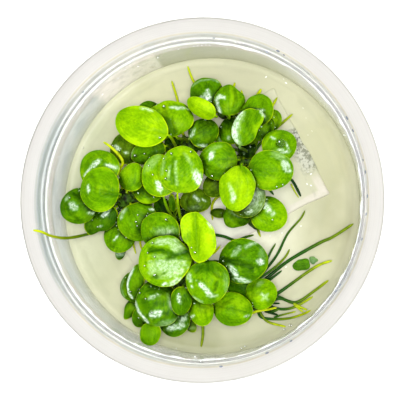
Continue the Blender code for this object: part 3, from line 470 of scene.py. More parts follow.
# Small leaves deep in the clump, which only show between the others; their dark tints and shade marks also
# paint the shade in the gaps
shadedLeaves = {
    "small_leaf_61": ("south", (-4.3, -31.4, 24.5), 300, 3.6, 2.8, -10, 0, 0.5, 0, 290, 20, "olive", even, [
        ("haze", 192, 328, 1.2, 0.4, 10, 0.4)]),
    "small_leaf_62": ("near_east", (2.6, -2.4, 23.5), 175, 4.6, 2.6, -6, 0, 0.5, 0, 170, 30, "olive", even, [
        ("shade", 218, 208, 2.4, 0.8, 0, 0.9)]),
    "small_leaf_63": ("middle", (-9, 0, 25.5), 95, 5, 2, 20, 0, 0.4, 15, 110, 40, "dark", even, [
        ("shade", 173, 206, 1.6, 0.4, 90, 0.6)]),
    "small_leaf_64": ("middle", (-12, -0.6, 23), 120, 5.5, 4.6, -5, 0, 0.6, 0, 130, 30, "deep", even, [
        ("shade", 163, 206, 2.4, 2.2, 0, 0.9), ("milk", 166, 204, 0.3, 0.3, 0, 0.9)]),
    "small_leaf_65": ("east", (3.2, 16.6, 25), 120, 3.4, 2.6, -5, 0, 0.5, 0, 130, 30, "dark", even, [
        ("haze", 223, 140, 1, 1.4, 90, 0.9)]),
    "small_leaf_66": ("east", (10.2, 14, 23.5), 60, 5, 4.6, -5, 0, 0.6, 0, 60, 30, "deep", even, [
        ("shade", 247, 151, 2.6, 2.2, 0, 0.8), ("milk", 244, 153, 0.3, 0.5, 60, 0.8)]),
    "small_leaf_67": ("west", (-23, -12.4, 22.5), 255, 4.2, 2.6, -10, 0, 0.4, 0, 262, 20, "deep", even, [
        ("haze", 120, 254, 1.8, 0.8, 0, 0.9)]),
    "small_leaf_68": ("middle", (-4.5, 1.5, 23.5), 70, 5.5, 5, -5, 0, 0.6, 0, 80, 30, "deep", even, [
        ("shade", 192, 200, 2.6, 2.4, 0, 0.7)]),
    "small_leaf_69": ("north", (1, 13.5, 23.5), 350, 5, 4.6, -5, 0, 0.6, 0, 350, 30, "deep", even, [
        ("shade", 213, 150, 2.4, 2.2, 0, 0.6)]),
    "small_leaf_70": ("middle", (-7.8, -1.8, 21.5), 100, 7, 6, -5, 0, 0.6, 0, 100, 30, "deep", even, [
        ("shade", 180, 208, 2.6, 2.4, 0, 0.8), ("milk", 186, 212, 0.3, 0.3, 0, 0.9)]),
    "small_leaf_71": ("north", (-9.3, 15.4, 23), 100, 6, 4.6, -5, 0, 0.6, 0, 100, 30, "deep", even, [
        ("shade", 172, 143, 2.4, 2, 0, 0.6), ("milk", 170, 145, 0.7, 0.15, 20, 0.9)]),
}
leafShape = {
    "blade": 0.6,         # thickness of the solids' blades
    "thickness": 0.5,
    "taper": 0.1,
    "stalk": 0.85,
    "stalkLead": 0.8,
    "stalkBend": 0.3,
    "stalkStops": 9,
    "cells": 0.36,        # size of a cell along and across the blade
    "fewestCells": 10,
    "wave": 0.32,         # how far the surface wanders up and down
    "waveSize": 3.2,
    "seedStep": 7.31,     # sets the waves of one leaf apart from those of the next
    "tear": 0.5,          # how ragged the edges of the marks are
    "tearScales": (1.3, 3.1),
    "lineEdge": 1.7,      # how far from its middle a line fades out, in widths
    "dropShade": 1.25,    # how wide the painted shade round a drop is beside the drop
    "dropTone": 0.6,
    "shadeReach": 5.0,    # how far over a leaf another one still shades it
    "shadeGain": 2.4,
    "shadeRays": 7,       # looks up in so many directions, at each of two slopes
    "shadeSlopes": (0.5, 1.1),
    "shadeLift": 0.1,     # starts so far off the surface, where that faces up by more than the level
    "shadeLevel": 0.1,
    "intoCrown": 1.2,     # how far a stalk runs into its crown
}
leafLayers = ("along", "across", "margin", "milk", "glow", "shade", "under", "stalk")
crowns = {
    "north": (-6.0, 15.0), "west": (-22.0, 2.0), "east": (9.5, 11.5), "near_east": (12.3, -3.5),
    "far_east": (4.5, 25.0), "middle": (-5.5, -12.0), "south": (-7.0, -21.5), "south_east": (12.5, -24.5),
}
crownShape = {"radius": 3.0, "half": 2.0, "level": 19.3, "gap": 0.3}
# Tones of the blades; the crease tone is also the colour of the painted shade
leafTints = {
    "lime": {"body": (136, 180, 0), "deep": (108, 156, 0), "edge": (166, 206, 8), "crease": (74, 124, 0)},
    "fresh": {"body": (110, 160, 0), "deep": (84, 136, 0), "edge": (146, 188, 5), "crease": (50, 98, 0)},
    "mid": {"body": (93, 145, 0), "deep": (70, 120, 0), "edge": (130, 174, 4), "crease": (37, 82, 0)},
    "dark": {"body": (72, 124, 0), "deep": (49, 94, 0), "edge": (108, 156, 4), "crease": (26, 62, 0)},
    "deep": {"body": (52, 97, 0), "deep": (32, 73, 0), "edge": (86, 134, 4), "crease": (15, 44, 0)},
    "olive": {"body": (73, 105, 5), "deep": (49, 78, 4), "edge": (104, 138, 16), "crease": (24, 44, 2)},
}


def makeLeafSkin():
    tones = ("Body", "Deep", "Edge", "Crease")
    tree, given, made = newGroup("leafSkin", dict.fromkeys(tones, "Color"), {
        "Color": "Color", "Roughness": "Float", "Coat": "Float", "Height": "Float"})
    body, deep, edge, crease = (given[tone] for tone in tones)
    along, across, margin, milk, glow, shade, under, stalk = (attribute(tree, name) for name in leafLayers)
    place = objectPlace(tree)
    drift = feed("VectorMath", {0: place, "Scale": 170.0}, operation="SCALE")
    patches = fleck(place, 260.0, 3.0, 0.6)
    grain = fleck(place, 1500.0, 3.0, 0.6)
    # faint arcs round the middle of the blade
    spot = vector(along, across)
    around = feed("VectorMath", {0: spot}, operation="NORMALIZE")
    rings = shift(around, vector(z=times(distance(spot), 14.0)))
    arcs = fleck(shift(rings, drift), 1.6)
    # streaks that run from base to tip, closer together at both ends
    narrow = calc("SQRT", minus(1.25, times(along, along)))
    lane = vector(times(along, 1.2), times(calc("DIVIDE", across, narrow), 6.5))
    streaks = fleck(shift(lane, drift), 1.0, 3.0, 0.65)
    # veins that sweep from the midrib towards the tip
    side = calc("ABSOLUTE", across)
    sweep = minus(times(along, 5.0), times(calc("POWER", side, 0.8), 5.5))
    veins = calc("SINE", times(sweep, math.tau))
    midrib = times(ramp(side, 0.02, 0.09, 1.0, 0.0), ramp(along, 0.6, 0.95, 1.0, 0.0))
    # painted shade, and painted highlights with torn edges that fade where shade is painted
    dark = calc("MULTIPLY", shade, ramp(streaks, 0.3, 0.6, 1.1, 0.8), clamp=True)
    dim = times(under, ramp(glow, 0.0, 1.0, 0.93, 0.3))
    clean = calc("SUBTRACT", 1.0, times(shade, 0.9), clamp=True)
    ragged = ramp(plus(times(arcs, 0.6), times(grain, 0.7)), 0.5, 0.75, 0.55, 1.0)
    paintedSheen = times(milk, clean, ragged)
    sheen = blend(ramp(paintedSheen, 0.3, 0.85), blend(0.5, paint(176, 206, 168), edge), paint(202, 220, 202))
    mixed = plus(times(streaks, 0.45), times(patches, 0.55))
    colour = cover(
        blend(ramp(mixed, 0.41, 0.57), deep, body),
        (ramp(fleck(place, 190.0, 3.0, 0.65), 0.52, 0.64, 0.0, 0.55), edge),
        (ramp(arcs, 0.5, 0.68, 0.0, 0.24), edge),
        (ramp(arcs, 0.32, 0.48, 0.19, 0.0), crease),
        (times(midrib, 0.22), crease),
        # painted shade at the base of the blade
        (ramp(along, -0.95, -0.35, 0.3, 0.0), crease),
        (times(ramp(veins, 0.3, 1.0), 0.1), edge),
        (ramp(margin, 0.2, 1.1, 0.3, 0.0), deep),
        (times(ramp(margin, 0.06, 0.24, 1.0, 0.0), ramp(patches, 0.4, 0.6, 0.1, 0.8)),
         blend(0.5, edge, paint(206, 228, 20))),
        (times(glow, 0.8), edge),
        # painted shade: the shade marks, and the leaves that lie over this one
        (dark, crease),
        (ramp(dark, 0.7, 1.0, 0.0, 0.4), blend(1.0, crease, paint(120, 140, 110), "MULTIPLY")),
        (dim, blend(1.0, crease, paint(120, 130, 120), "MULTIPLY")),
        # painted glints: light flecks in the shaded parts
        (times(ramp(grain, 0.66, 0.7), ramp(under, 0.35, 0.7, 0.0, 0.8)), paint(200, 226, 190)),
        # painted highlights
        (paintedSheen, sheen),
        (times(stalk, 0.85), blend(0.7, edge, paint(28, 56, 4))))
    fill(made, {
        "Color": blend(1.0, colour, ramp(grain, 0.3, 0.7, 0.85, 1.11, "LINEAR"), "MULTIPLY"),
        "Roughness": ramp(grain, 0.3, 0.7, 0.26, 0.4),
        "Coat": times(paintedSheen, 0.7),
        "Height": minus(plus(times(veins, 0.12), times(streaks, 0.9)), times(midrib, 0.3))})
    return tree


def makeLeafMaterial(tint, colours, skin):
    colours = {name.capitalize(): paint(*steps) for name, steps in colours.items()}
    values = {"Specular IOR Level": 0.02, "Coat Roughness": 0.22}
    material, tree, shader = newMaterial("leaf_" + tint, colours["Body"], values)
    made = add(tree, "Group", colours, node_tree=skin)
    fill(shader.inputs, {
        "Base Color": made["Color"],
        "Roughness": made["Roughness"],
        "Coat Weight": made["Coat"],
        "Normal": bump(made["Height"], 0.5, 0.00018)})
    return material


leafSkin = makeLeafSkin()
leafMaterials = {tint: makeLeafMaterial(tint, colours, leafSkin) for tint, colours in leafTints.items()}


def spread(values, turn):      # a value between eight round a circle
    near, share = int(turn) % 8, turn - int(turn)
    share = share * share * (3 - 2 * share)
    return values[near] + (values[(near + 1) % 8] - values[near]) * share


def discPoint(x, y, outline):      # rounds a square grid, and says how far the outline reaches there
    a = x * math.sqrt(1 - y * y / 2)
    b = y * math.sqrt(1 - x * x / 2)
    reach = spread(outline, (math.atan2(b, a) % math.tau) / math.tau * 8)
    return a, b, 1 + (reach - 1) * (a * a + b * b)


def bladePoint(x, y, leaf):
    a, b, reach = discPoint(x, y, leaf["outline"])
    side = b * leaf["width"] / 2 * (1 - leafShape["taper"] * a)
    rise = leaf["dome"] * (0.5 - a * a - b * b)
    rise += math.tan(math.radians(leaf["fold"])) * (abs(side) - leaf["width"] / 8)
    return Vector((a * leaf["length"] / 2 * reach, side * reach, rise)), a, b


def crownPoint(crown, bearing, rise):
    middle, around = Vector((*crowns[crown], crownShape["level"])), heading(bearing)
    level, height = math.cos(math.radians(rise)), math.sin(math.radians(rise))
    out = (around * (level / crownShape["radius"]) + Vector((0, 0, height / crownShape["half"]))).normalized()
    surface = around * (level * crownShape["radius"]) + Vector((0, 0, height * crownShape["half"]))
    return middle + surface + out * crownShape["gap"], out


def curvePoint(a, b, c, d, t):
    s = 1 - t
    return a * s ** 3 + b * (3 * s * s * t) + c * (3 * s * t * t) + d * t ** 3


def growStalk(bm, base, points, stalk):
    side = Vector((0, 1, 0))
    face = min(bm.faces, key=lambda f: (f.calc_center_median() - base).length)
    middle = face.calc_center_median()
    signs = [(1 if (v.co - middle).dot(side) > 0 else -1, 1 if v.co.z > middle.z else -1) for v in face.verts]
    for index, point in enumerate(points):
        ahead = points[min(index + 1, len(points) - 1)]
        behind = points[index - 1] if index else middle
        forward = (ahead - behind).normalized()
        up = side.cross(forward).normalized()
        across = forward.cross(up)
        face = bmesh.ops.extrude_discrete_faces(bm, faces=[face])["faces"][0]
        for vert, (left, above) in zip(face.verts, signs):
            vert.co = point + (across * left + up * above) * (leafShape["stalk"] / 2)
            vert[stalk] = min(1.0, (index + 1) / 2)


# Marks. A line has its layer and how far it lifts the blade: a plain line paints a highlight, a ridge paints
# the blade lighter and a crease paints shade and folds it down. A patch has its layer, its full strength, and
# the start, speed and power of its fall from the middle out. The first two kinds of patch paint highlights,
# the last paints shade.
lineMarks = {"line": ("milk", 0.0), "ridge": ("glow", 0.24), "crease": ("shade", -0.6)}
patchMarks = {
    "milk": ("milk", 0.9, 3.4, 2.9, 1), "haze": ("milk", 0.6, 1.5, 1.15, 1.3),
    "glow": ("glow", 1, 1.5, 1.15, 1.3), "shade": ("shade", 1, 1.5, 1.15, 1.3),
}


def clamped(value):
    return max(0.0, min(1.0, value))


def lineStrength(points, width, strength, where, wander):
    gaps = []
    for start, end in zip(points, points[1:]):
        share = clamped(intersect_point_line(where.xy, start.xy, end.xy)[1])
        gaps.append((where.xy - start.xy.lerp(end.xy, share)).length)
    return strength * clamped(leafShape["lineEdge"] - min(gaps) / width - wander * leafShape["tear"])


def patchStrength(fading, spot, turned, long, wide, strength, where, wander):
    full, start, fall, power = fading
    offset = turned @ (where - spot)
    reach = math.sqrt((offset.x / long) ** 2 + (offset.y / wide) ** 2) + wander * leafShape["tear"]
    return strength * full * clamped(start - reach * fall) ** power


def readMarks(marks, turn):      # each as its layer, its lift, and what works out its strength at a point
    def onBlade(column, row):
        return intersect_line_plane(eye, eye + sightLine(column, row), turn.translation, turn.col[2].xyz)

    ready = []
    for kind, *values in marks:
        if kind in lineMarks:
            points, width, strength = values
            line = ([onBlade(*point) for point in points], width, strength)
            ready.append((*lineMarks[kind], lineStrength, line))
            continue
        if kind == "drop":      # painted shade: the leaf is darker round a drop
            size = values[2] * leafShape["dropShade"]
            kind, values = "shade", (*values[:2], size, size, 0, leafShape["dropTone"])
        column, row, long, wide, bearing, strength = values
        turned = Matrix.Rotation(-math.radians(bearing), 3, "Z")
        layer, *fading = patchMarks[kind]
        patch = (fading, onBlade(column, row), turned, long, wide, strength)
        ready.append((layer, 0.0, patchStrength, patch))
    return ready


drops = []       # middle, direction out of the surface and radius of each drop of water


def placeDrops(bm, marks, turn):
    tree = BVHTree.FromBMesh(bm)
    toLeaf = turn.inverted()
    for kind, *values in marks:
        if kind == "drop":
            column, row, radius = values
            spot, out = tree.ray_cast(toLeaf @ eye, toLeaf.to_3x3() @ sightLine(column, row))[:2]
            if spot:
                drops.append((turn @ spot, turn.to_3x3() @ (out if out.z > 0 else -out), radius))


def growBlade(bm, leaf, layers, turn, seed):
    marks = readMarks(leaf["marks"], turn)
    coarse, fine = leafShape["tearScales"]
    across, along = (max(leafShape["fewestCells"], round(leaf[size] / leafShape["cells"]))
                     for size in ("width", "length"))
    bmesh.ops.create_grid(bm, x_segments=along, y_segments=across // 2 * 2 + 1, size=1.0)
    for vert in bm.verts:
        vert.co, a, b = bladePoint(vert.co.x, vert.co.y, leaf)
        radius = math.sqrt(a * a + b * b)
        vert[layers["along"]], vert[layers["across"]] = a, b
        vert[layers["margin"]] = (1 - radius) * leaf["width"] / 2
        where = turn @ vert.co
        vert.co.z += leafShape["wave"] * noise.noise(vert.co / leafShape["waveSize"] + seed) * (0.5 + radius)
        wander = noise.noise(where * coarse + seed) + 0.5 * noise.noise(where * fine + seed)
        for layer, lift, strengthOf, mark in marks:
            strength = strengthOf(*mark, where, wander)
            vert[layers[layer]] = max(vert[layers[layer]], strength)
            vert.co.z += lift * strength


def stalkPath(leaf, turn, base):      # from under the blade into the crown, in the leaf's own frame
    end, out = crownPoint(leaf["crown"], leaf["foot"], leaf["rise"])
    toLeaf = turn.inverted()
    gap = turn @ base - end
    lead = Vector((leafShape["stalkLead"] + leafShape["stalkBend"] * gap.xy.length, 0, 0))
    bend = out * leafShape["stalkBend"] * gap.length
    curve = (base, base - lead, toLeaf @ (end + bend), toLeaf @ end)
    stops = leafShape["stalkStops"]
    path = [curvePoint(*curve, (i + 1) / stops) for i in range(stops)]
    return path + [toLeaf @ (end - out * leafShape["intoCrown"])]


def makeLeaf(name, row, replaced):
    leaf = dict(zip(leafFields, row))
    angles = (leaf["roll"], -leaf["tilt"], leaf["bearing"])
    turn = Euler([math.radians(angle) for angle in angles]).to_matrix().to_4x4()
    turn.translation = Vector(leaf["middle"])
    seed = Vector((int(name[-2:]) * leafShape["seedStep"], 0, 0))
    bm = bmesh.new()
    layers = {key: bm.verts.layers.float.new(key) for key in leafLayers}
    growBlade(bm, leaf, layers, turn, seed)
    placeDrops(bm, leaf["marks"], turn)
    bmesh.ops.solidify(bm, geom=bm.faces[:], thickness=leafShape["thickness"])
    base = bladePoint(-1, 0, leaf)[0] - Vector((0, 0, leafShape["blade"] / 2))
    growStalk(bm, base, stalkPath(leaf, turn, base), layers["stalk"])
    bmesh.ops.recalc_face_normals(bm, faces=bm.faces[:])
    bmesh.ops.transform(bm, matrix=turn, verts=bm.verts[:])
    tint = leaf["tint"]
    return finishPiece(name + "_blade", bm, leafMaterials[tint], replaced, 1)


def shadeLowerLeaves(blades):      # painted shade: a leaf is darker where others lie close over it
    points, faces, owners = [], [], []
    for blade in blades:
        start = len(points)
        points += [vert.co / mm for vert in blade.data.vertices]
        faces += [[start + index for index in face.vertices] for face in blade.data.polygons]
        owners += [blade.name] * len(blade.data.polygons)
    tree = BVHTree.FromPolygons(points, faces)
    turns = [math.tau * i / leafShape["shadeRays"] for i in range(leafShape["shadeRays"])]
    rays = [Vector((math.cos(turn) * slope, math.sin(turn) * slope, 1)).normalized()
            for slope in leafShape["shadeSlopes"] for turn in turns]
    for blade in blades:
        under = blade.data.attributes["under"].data
        for index, vert in enumerate(blade.data.vertices):
            if vert.normal.z < leafShape["shadeLevel"]:
                continue
            start = vert.co / mm + vert.normal * leafShape["shadeLift"]
            hits = [tree.ray_cast(start, ray, leafShape["shadeReach"])[2] for ray in rays]
            count = sum(hit is not None and owners[hit] != blade.name for hit in hits)
            under[index].value = min(1.0, leafShape["shadeGain"] * count / len(rays))


blades = [makeLeaf(name, row, name) for name, row in leaves.items()]
blades += [makeLeaf(name, row, None) for name, row in shadedLeaves.items()]
shadeLowerLeaves(blades)
print("leaves ready:", len(leaves) + len(shadedLeaves))


# Rhizomes: the line of each, its crowns and its roots. A root has its line, how yellow it is at its start and
# its tip, and how thick it is beside the usual.
plantlets = {
    "rhizome_north": {
        "line": [(-12, 9.5, 18.8), (-9, 12.5, 19), (-6, 15, 19.3)],
        "crowns": ["north"],
        "roots": [
            ([(-6.5, 16.5, 19), (-8, 22, 18.4), (-8.5, 27, 18.4), (-10, 32.5, 20)], 0.8, 0.95, 0.85),
            ([(-11, 10.5, 18.4), (-10.5, 7.5, 17.8), (-9, 5, 17.8)], 0.1, 0.6, 0.9),
        ],
    },
    "rhizome_west": {
        "line": [(-15.5, -0.5, 18.7), (-19, 1, 19), (-22, 2, 19.3)],
        "crowns": ["west"],
        "roots": [
            ([(-23, 0, 19.5), (-25.5, -3.2, 20), (-29, -6.5, 21.5), (-32.5, -8.1, 25.5), (-35.7, -9, 31.5),
              (-38, -8.7, 38.5), (-39.4, -7.9, 42), (-41.5, -7.5, 42.8)], 0.15, 1.0, 0.9),
            ([(-22.8, 4, 19.8), (-22.8, 6.5, 23.5), (-22.3, 8.8, 27.2), (-21.3, 10.4, 28.6),
              (-22.4, 12.4, 29.2), (-24.3, 14.3, 29.8), (-26.2, 15.6, 30.2)], 0.9, 1.0, 0.9),
            ([(-17, 0, 18.4), (-16.5, -4, 17.8), (-18.5, -9, 17.8), (-18, -11.5, 17.8)], 0.75, 1.0, 0.8),
        ],
    },
    "rhizome_east": {
        "line": [(13.2, -6, 18.8), (12.3, -3.5, 19.3), (10.7, 4.5, 19), (9.5, 11.5, 19.3), (7, 18.5, 19),
                 (4.5, 25, 19.3)],
        "crowns": ["near_east", "east", "far_east"],
        "roots": [
            ([(3, 25.5, 19), (-1.5, 28.5, 17.9), (-4.5, 32.5, 17.8), (-6, 36.5, 18.6)], 0.8, 0.95, 0.85),
            ([(4.7, 26.5, 19), (5.5, 29, 18.2), (6.5, 32, 18.4)], 0.9, 1.0, 0.9),
            ([(5.8, 26, 19.5), (8.3, 28, 18.7), (8.2, 29.8, 20)], 0.8, 1.0, 0.9),
            ([(6.5, 25, 19.3), (11, 27, 18.6), (13.5, 30, 19.8)], 0.8, 1.0, 1.2),
            ([(10, 13.5, 19), (13, 20, 18), (17.5, 28, 18.2)], 0.6, 0.9, 0.9),
            ([(11, 13, 19), (14, 17, 18), (21.5, 23.5, 18.6)], 0.3, 0.85, 0.9),
            ([(11.5, 11, 19), (17, 9.5, 18), (21, 6.5, 17.8), (23.5, 2, 17.8)], 0.0, 0.1, 0.95),
            ([(11, 5, 18.8), (14.5, 4.5, 17.8), (16.5, 2.5, 17.8)], 0.1, 0.4, 0.9),
            ([(10, 4.6, 18.8), (3.5, 3, 17.9), (0.5, 0.5, 17.8), (0.5, -4, 17.8)], 0.6, 1.0, 0.85),
            ([(12.6, -5, 18.6), (12.3, -6.5, 18), (13, -8.4, 17.8)], 0.3, 1.0, 0.9),
        ],
    },
    "rhizome_middle": {
        "line": [(-5, -8.5, 18.9), (-5.5, -12, 19.3), (-6, -17, 19), (-7, -21.5, 19.3)],
        "crowns": ["middle", "south"],
        "roots": [
            ([(-3.4, -11.4, 19.6), (-0.5, -8, 20.6), (3.5, -8.2, 20), (6.5, -9.2, 18.4), (9.5, -8.2, 17.9),
              (11.3, -7.8, 17.9)], 0.0, 0.5, 0.9),
            ([(-3.5, -12.2, 19.4), (0.5, -12.8, 20.2), (3, -10.6, 21.6)], 0.7, 1.0, 0.8),
            ([(-5.5, -23, 19), (-3, -27, 18.2), (-2, -32.5, 17.9), (-2.5, -36.8, 18)], 0.5, 0.75, 0.95),
        ],
    },
    "rhizome_south_east": {
        "line": [(15.8, -27, 18.8), (12.5, -24.5, 19.3), (10.8, -20, 18.8)],
        "crowns": ["south_east"],
        "roots": [
            ([(11.5, -20.5, 19), (13.5, -17, 18.3), (15.5, -12.5, 18.6), (17, -10, 18.8)], 0.0, 0.5, 0.75),
            ([(11, -20.5, 18.8), (15, -16, 18.2), (17.5, -12.5, 17.8), (20, -7.5, 17.8), (23.5, -3.5, 17.8),
              (24.5, -1.5, 18)], 0.0, 0.62, 0.75),
            ([(11, -20, 19.2), (15.5, -17.2, 18.8), (19.2, -13.8, 18.2), (20.5, -11.5, 17.9)],
             0.2, 0.75, 0.75),
            ([(11.5, -21.5, 18.6), (15.5, -18.2, 17.9), (20.5, -14.3, 17.8), (28.5, -9.8, 17.8),
              (31.5, -8.5, 17.8), (37, -5, 17.9)], 0.0, 0.72, 1.0),
            ([(12, -21.5, 18.6), (15, -19.6, 17.8), (18.5, -17, 17.8)], 0.1, 0.3, 0.8),
            ([(14.5, -24.5, 18.8), (18, -22.5, 17.9), (25, -17.5, 17.8), (28.5, -15.4, 17.8),
              (31.5, -14.5, 17.9)], 0.1, 0.95, 0.95),
            ([(15, -25.5, 18.6), (18, -24.2, 18.4), (22, -25.3, 17.9), (26.5, -22.5, 17.8),
              (30.5, -19.5, 17.9)], 0.2, 0.8, 0.95),
            ([(15, -26.2, 18.4), (18.5, -27, 17.9), (22, -26.3, 17.9), (26.5, -23.7, 17.8)], 0.1, 0.95, 0.85),
            ([(12.5, -26, 19), (13, -29, 18), (19, -29.5, 17.8), (23.5, -28.4, 18.2), (26, -27.2, 19.6)],
             0.0, 1.0, 0.8),
            ([(13.5, -26, 19.2), (15, -27.8, 18.8), (18, -26.9, 19)], 0.1, 0.5, 0.9),
            ([(12, -26.2, 18.6), (14.5, -30, 17.8), (19.5, -31.5, 17.8)], 0.4, 1.05, 0.8),
        ],
    },
}
rhizomeShape = {
    "radius": 1.3,
    "end": 0.8,           # how thick the old end is beside the rest
    "growth": 0.05,       # how much it gains of that with each step
    "rings": 0.12,        # depth of the leaf scars round it, one every few steps
    "ringSteps": 3,
    "between": -0.3,      # how far it stands out between them, beside that depth
    "swell": 0.12,
    "swellScale": 0.8,
    "seed": 3.7,          # sets the swells
    "root": 0.5,          # radius of a root
    "rootSwell": 0.14,
    "rootSwellScale": 0.7,
    "tip": 0.8,           # how thick a root's tip is beside the rest
    "thinStart": 1.1,     # how thick a thin root is at its start and its tip
    "thinTip": 0.7,
    "sides": 10,
    "rootSides": 7,
    "step": 0.45,         # length of one step along a rhizome
    "rootStep": 0.9,
    "knobs": 0.35,        # how uneven a crown is
    "knobScale": 2.4,
    "highestKnob": 1.06,
    "collar": 2.0,        # how far a root has the look of its rhizome
}


def smoothPath(points, step):      # a smooth line through the points, cut in even steps
    points = [Vector(p) for p in points]
    ends = [points[0] * 2 - points[1]] + points + [points[-1] * 2 - points[-2]]
    path = []
    for a, b, c, d in zip(ends, ends[1:], ends[2:], ends[3:]):
        count = max(1, round((c - b).length / step))
        for i in range(count):
            t = i / count
            bent = (a * 2 - b * 5 + c * 4 - d) * t * t + (b * 3 - a - c * 3 + d) * t ** 3
            path.append((b * 2 + (c - a) * t + bent) / 2)
    return path + [points[-1]]


tubeEnds = {"start": 0.8, "length": 0.05, "tip": 0.5}      # how thick the ends are beside the rest


def growTube(bm, path, radii, sides, layer, tones):
    forward = (path[1] - path[0]).normalized()
    start = bmesh.ops.create_cone(
        bm, cap_ends=True, segments=sides, radius1=radii[0] * tubeEnds["start"], radius2=radii[0],
        depth=tubeEnds["length"], matrix=upOn(path[0], forward))["verts"]
    for vert in start:
        vert[layer] = tones[0]
    face = max({f for v in start for f in v.link_faces}, key=lambda f: f.calc_center_median().dot(forward))
    for index in range(1, len(path)):
        ahead = (path[min(index + 1, len(path) - 1)] - path[index - 1]).normalized()
        face = bmesh.ops.extrude_discrete_faces(bm, faces=[face])["faces"][0]
        scale = Matrix.Scale(radii[index] / radii[index - 1], 4)
        bend = forward.rotation_difference(ahead).to_matrix().to_4x4()
        move = Matrix.Translation(path[index]) @ bend @ scale @ Matrix.Translation(-path[index - 1])
        bmesh.ops.transform(bm, matrix=move, verts=face.verts)
        for vert in face.verts:
            vert[layer] = tones[index]
        forward = ahead
    end = Matrix.Translation(path[-1])
    close = end @ Matrix.Scale(tubeEnds["tip"], 4) @ end.inverted()
    bmesh.ops.transform(bm, matrix=close, verts=face.verts)


def makeRhizomeMaterial():
    material, tree, shader = newMaterial("rhizome_and_roots", paint(52, 78, 20), {"Specular IOR Level": 0.1})
    tone, knob = attribute(tree, "tone"), attribute(tree, "knob")
    bark = fleck(objectPlace(tree), 700.0, 3.0, 0.6)
    root = cover(
        paint(8, 42, 8),
        (ramp(tone, 0.0, 0.35), paint(32, 80, 4)),
        (ramp(tone, 0.35, 0.65), paint(104, 128, 0)),
        (ramp(tone, 0.65, 0.85), paint(158, 174, 0)),
        (ramp(tone, 0.85, 1.0), paint(184, 200, 4)),
        (ramp(bark, 0.45, 0.7, 0.0, 0.35), paint(40, 76, 10)))
    stem = blend(ramp(bark, 0.4, 0.62), paint(22, 34, 6), paint(66, 104, 20))
    fill(shader.inputs, {
        "Base Color": blend(knob, root, stem),
        "Roughness": ramp(bark, 0.3, 0.7, 0.35, 0.6),
        "Normal": bump(bark, 0.5, 0.00025)})
    return material


def evenSteps(first, last, count):
    return [first + (last - first) * i / (count - 1) for i in range(count)]


def growRoot(bm, path, radii, first, last, layer):      # its tone goes evenly from the first to the last
    growTube(bm, path, radii, rhizomeShape["rootSides"], layer, evenSteps(first, last, len(path)))


def makePlantlet(name, plan, material):
    shape = rhizomeShape
    bm = bmesh.new()
    tone = bm.verts.layers.float.new("tone")
    knob = bm.verts.layers.float.new("knob")
    seed = Vector((plan["line"][0][0], shape["seed"], 0))
    path = smoothPath(plan["line"], shape["step"])
    radii = []
    for index, point in enumerate(path):
        share = min(1.0, shape["end"] + index * shape["growth"])
        ring = shape["rings"] * (shape["between"] if index % shape["ringSteps"] else 1)
        swell = 1 + shape["swell"] * noise.noise(point * shape["swellScale"] + seed)
        radii.append((shape["radius"] - ring) * share * swell)
    growTube(bm, path, radii, shape["sides"], tone, [0.0] * len(path))
    size = Matrix.Diagonal((crownShape["radius"], crownShape["radius"], crownShape["half"]))
    for crown in plan["crowns"]:
        middle = Vector((*crowns[crown], crownShape["level"]))
        for vert in bmesh.ops.create_icosphere(bm, subdivisions=3, radius=1.0)["verts"]:
            lump = 1 + shape["knobs"] * noise.noise(vert.co * shape["knobScale"] + middle)
            vert.co = middle + size @ vert.co * min(lump, shape["highestKnob"])
    for vert in bm.verts:
        vert[knob] = 1.0
    for route, first, last, thick in plan["roots"]:
        before = set(bm.verts)
        path = smoothPath(route, shape["rootStep"])
        radii = []
        for index, point in enumerate(path):
            taper = 1 - (1 - shape["tip"]) * max(0.0, index / (len(path) - 1) * 2 - 1)      # from halfway on
            swell = 1 + shape["rootSwell"] * noise.noise(point * shape["rootSwellScale"] + seed)
            radii.append(shape["root"] * thick * taper * swell)
        growRoot(bm, path, radii, first, last, tone)
        for vert in set(bm.verts) - before:
            vert[knob] = max(0.0, 1.0 - (vert.co - path[0]).length / shape["collar"])
    bmesh.ops.recalc_face_normals(bm, faces=bm.faces[:])
    return finishPiece(name.replace("rhizome", "plantlet"), bm, material, name, 1)


# Thin roots between the others: points as column, row and height, then the tones and the thickness
thinRoots = [
    ([(250, 314, 26), (258, 311, 26.5), (268, 309.5, 26), (277, 307.5, 24.5)], 0.75, 1.0, 0.8),
    ([(293.5, 303.5, 18.4), (298, 308, 18.2), (303.5, 312.5, 18.4)], 0.75, 1.0, 0.7),
    ([(294, 304, 18.3), (300, 307, 18.2), (307.5, 310, 18.4)], 0.75, 0.95, 0.8),
    ([(266, 299, 21), (272, 303, 20), (280, 303.5, 19)], 0.0, 0.1, 0.7),
    ([(265, 311, 21), (271, 313, 20), (278, 315, 19)], 0.0, 0.1, 0.8),
    ([(268, 297, 22), (278, 296, 21), (287, 300, 19.5)], 0.1, 0.3, 0.6),
    ([(266, 304, 21), (271, 308, 19.5), (276, 310, 18.6)], 0.0, 0.2, 0.6),
    ([(274, 317.5, 18.2), (282, 315, 18.4), (290, 313, 18.2), (296, 311.5, 18.3)], 0.3, 0.9, 0.6),
    ([(291, 184, 18.3), (294, 190, 18.1), (299, 198, 18.1)], 0.8, 0.9, 0.5),
    ([(133, 243, 19), (134.5, 249, 18.6), (136, 254, 18.4)], 0.8, 1.0, 0.6),
    ([(163, 140, 24), (170, 136, 27), (176, 131, 29)], 0.6, 0.8, 0.6),
    ([(176.5, 195, 30), (178.5, 202, 28), (177.5, 210, 26), (174.5, 217, 24)], 0.45, 0.55, 0.6),
]


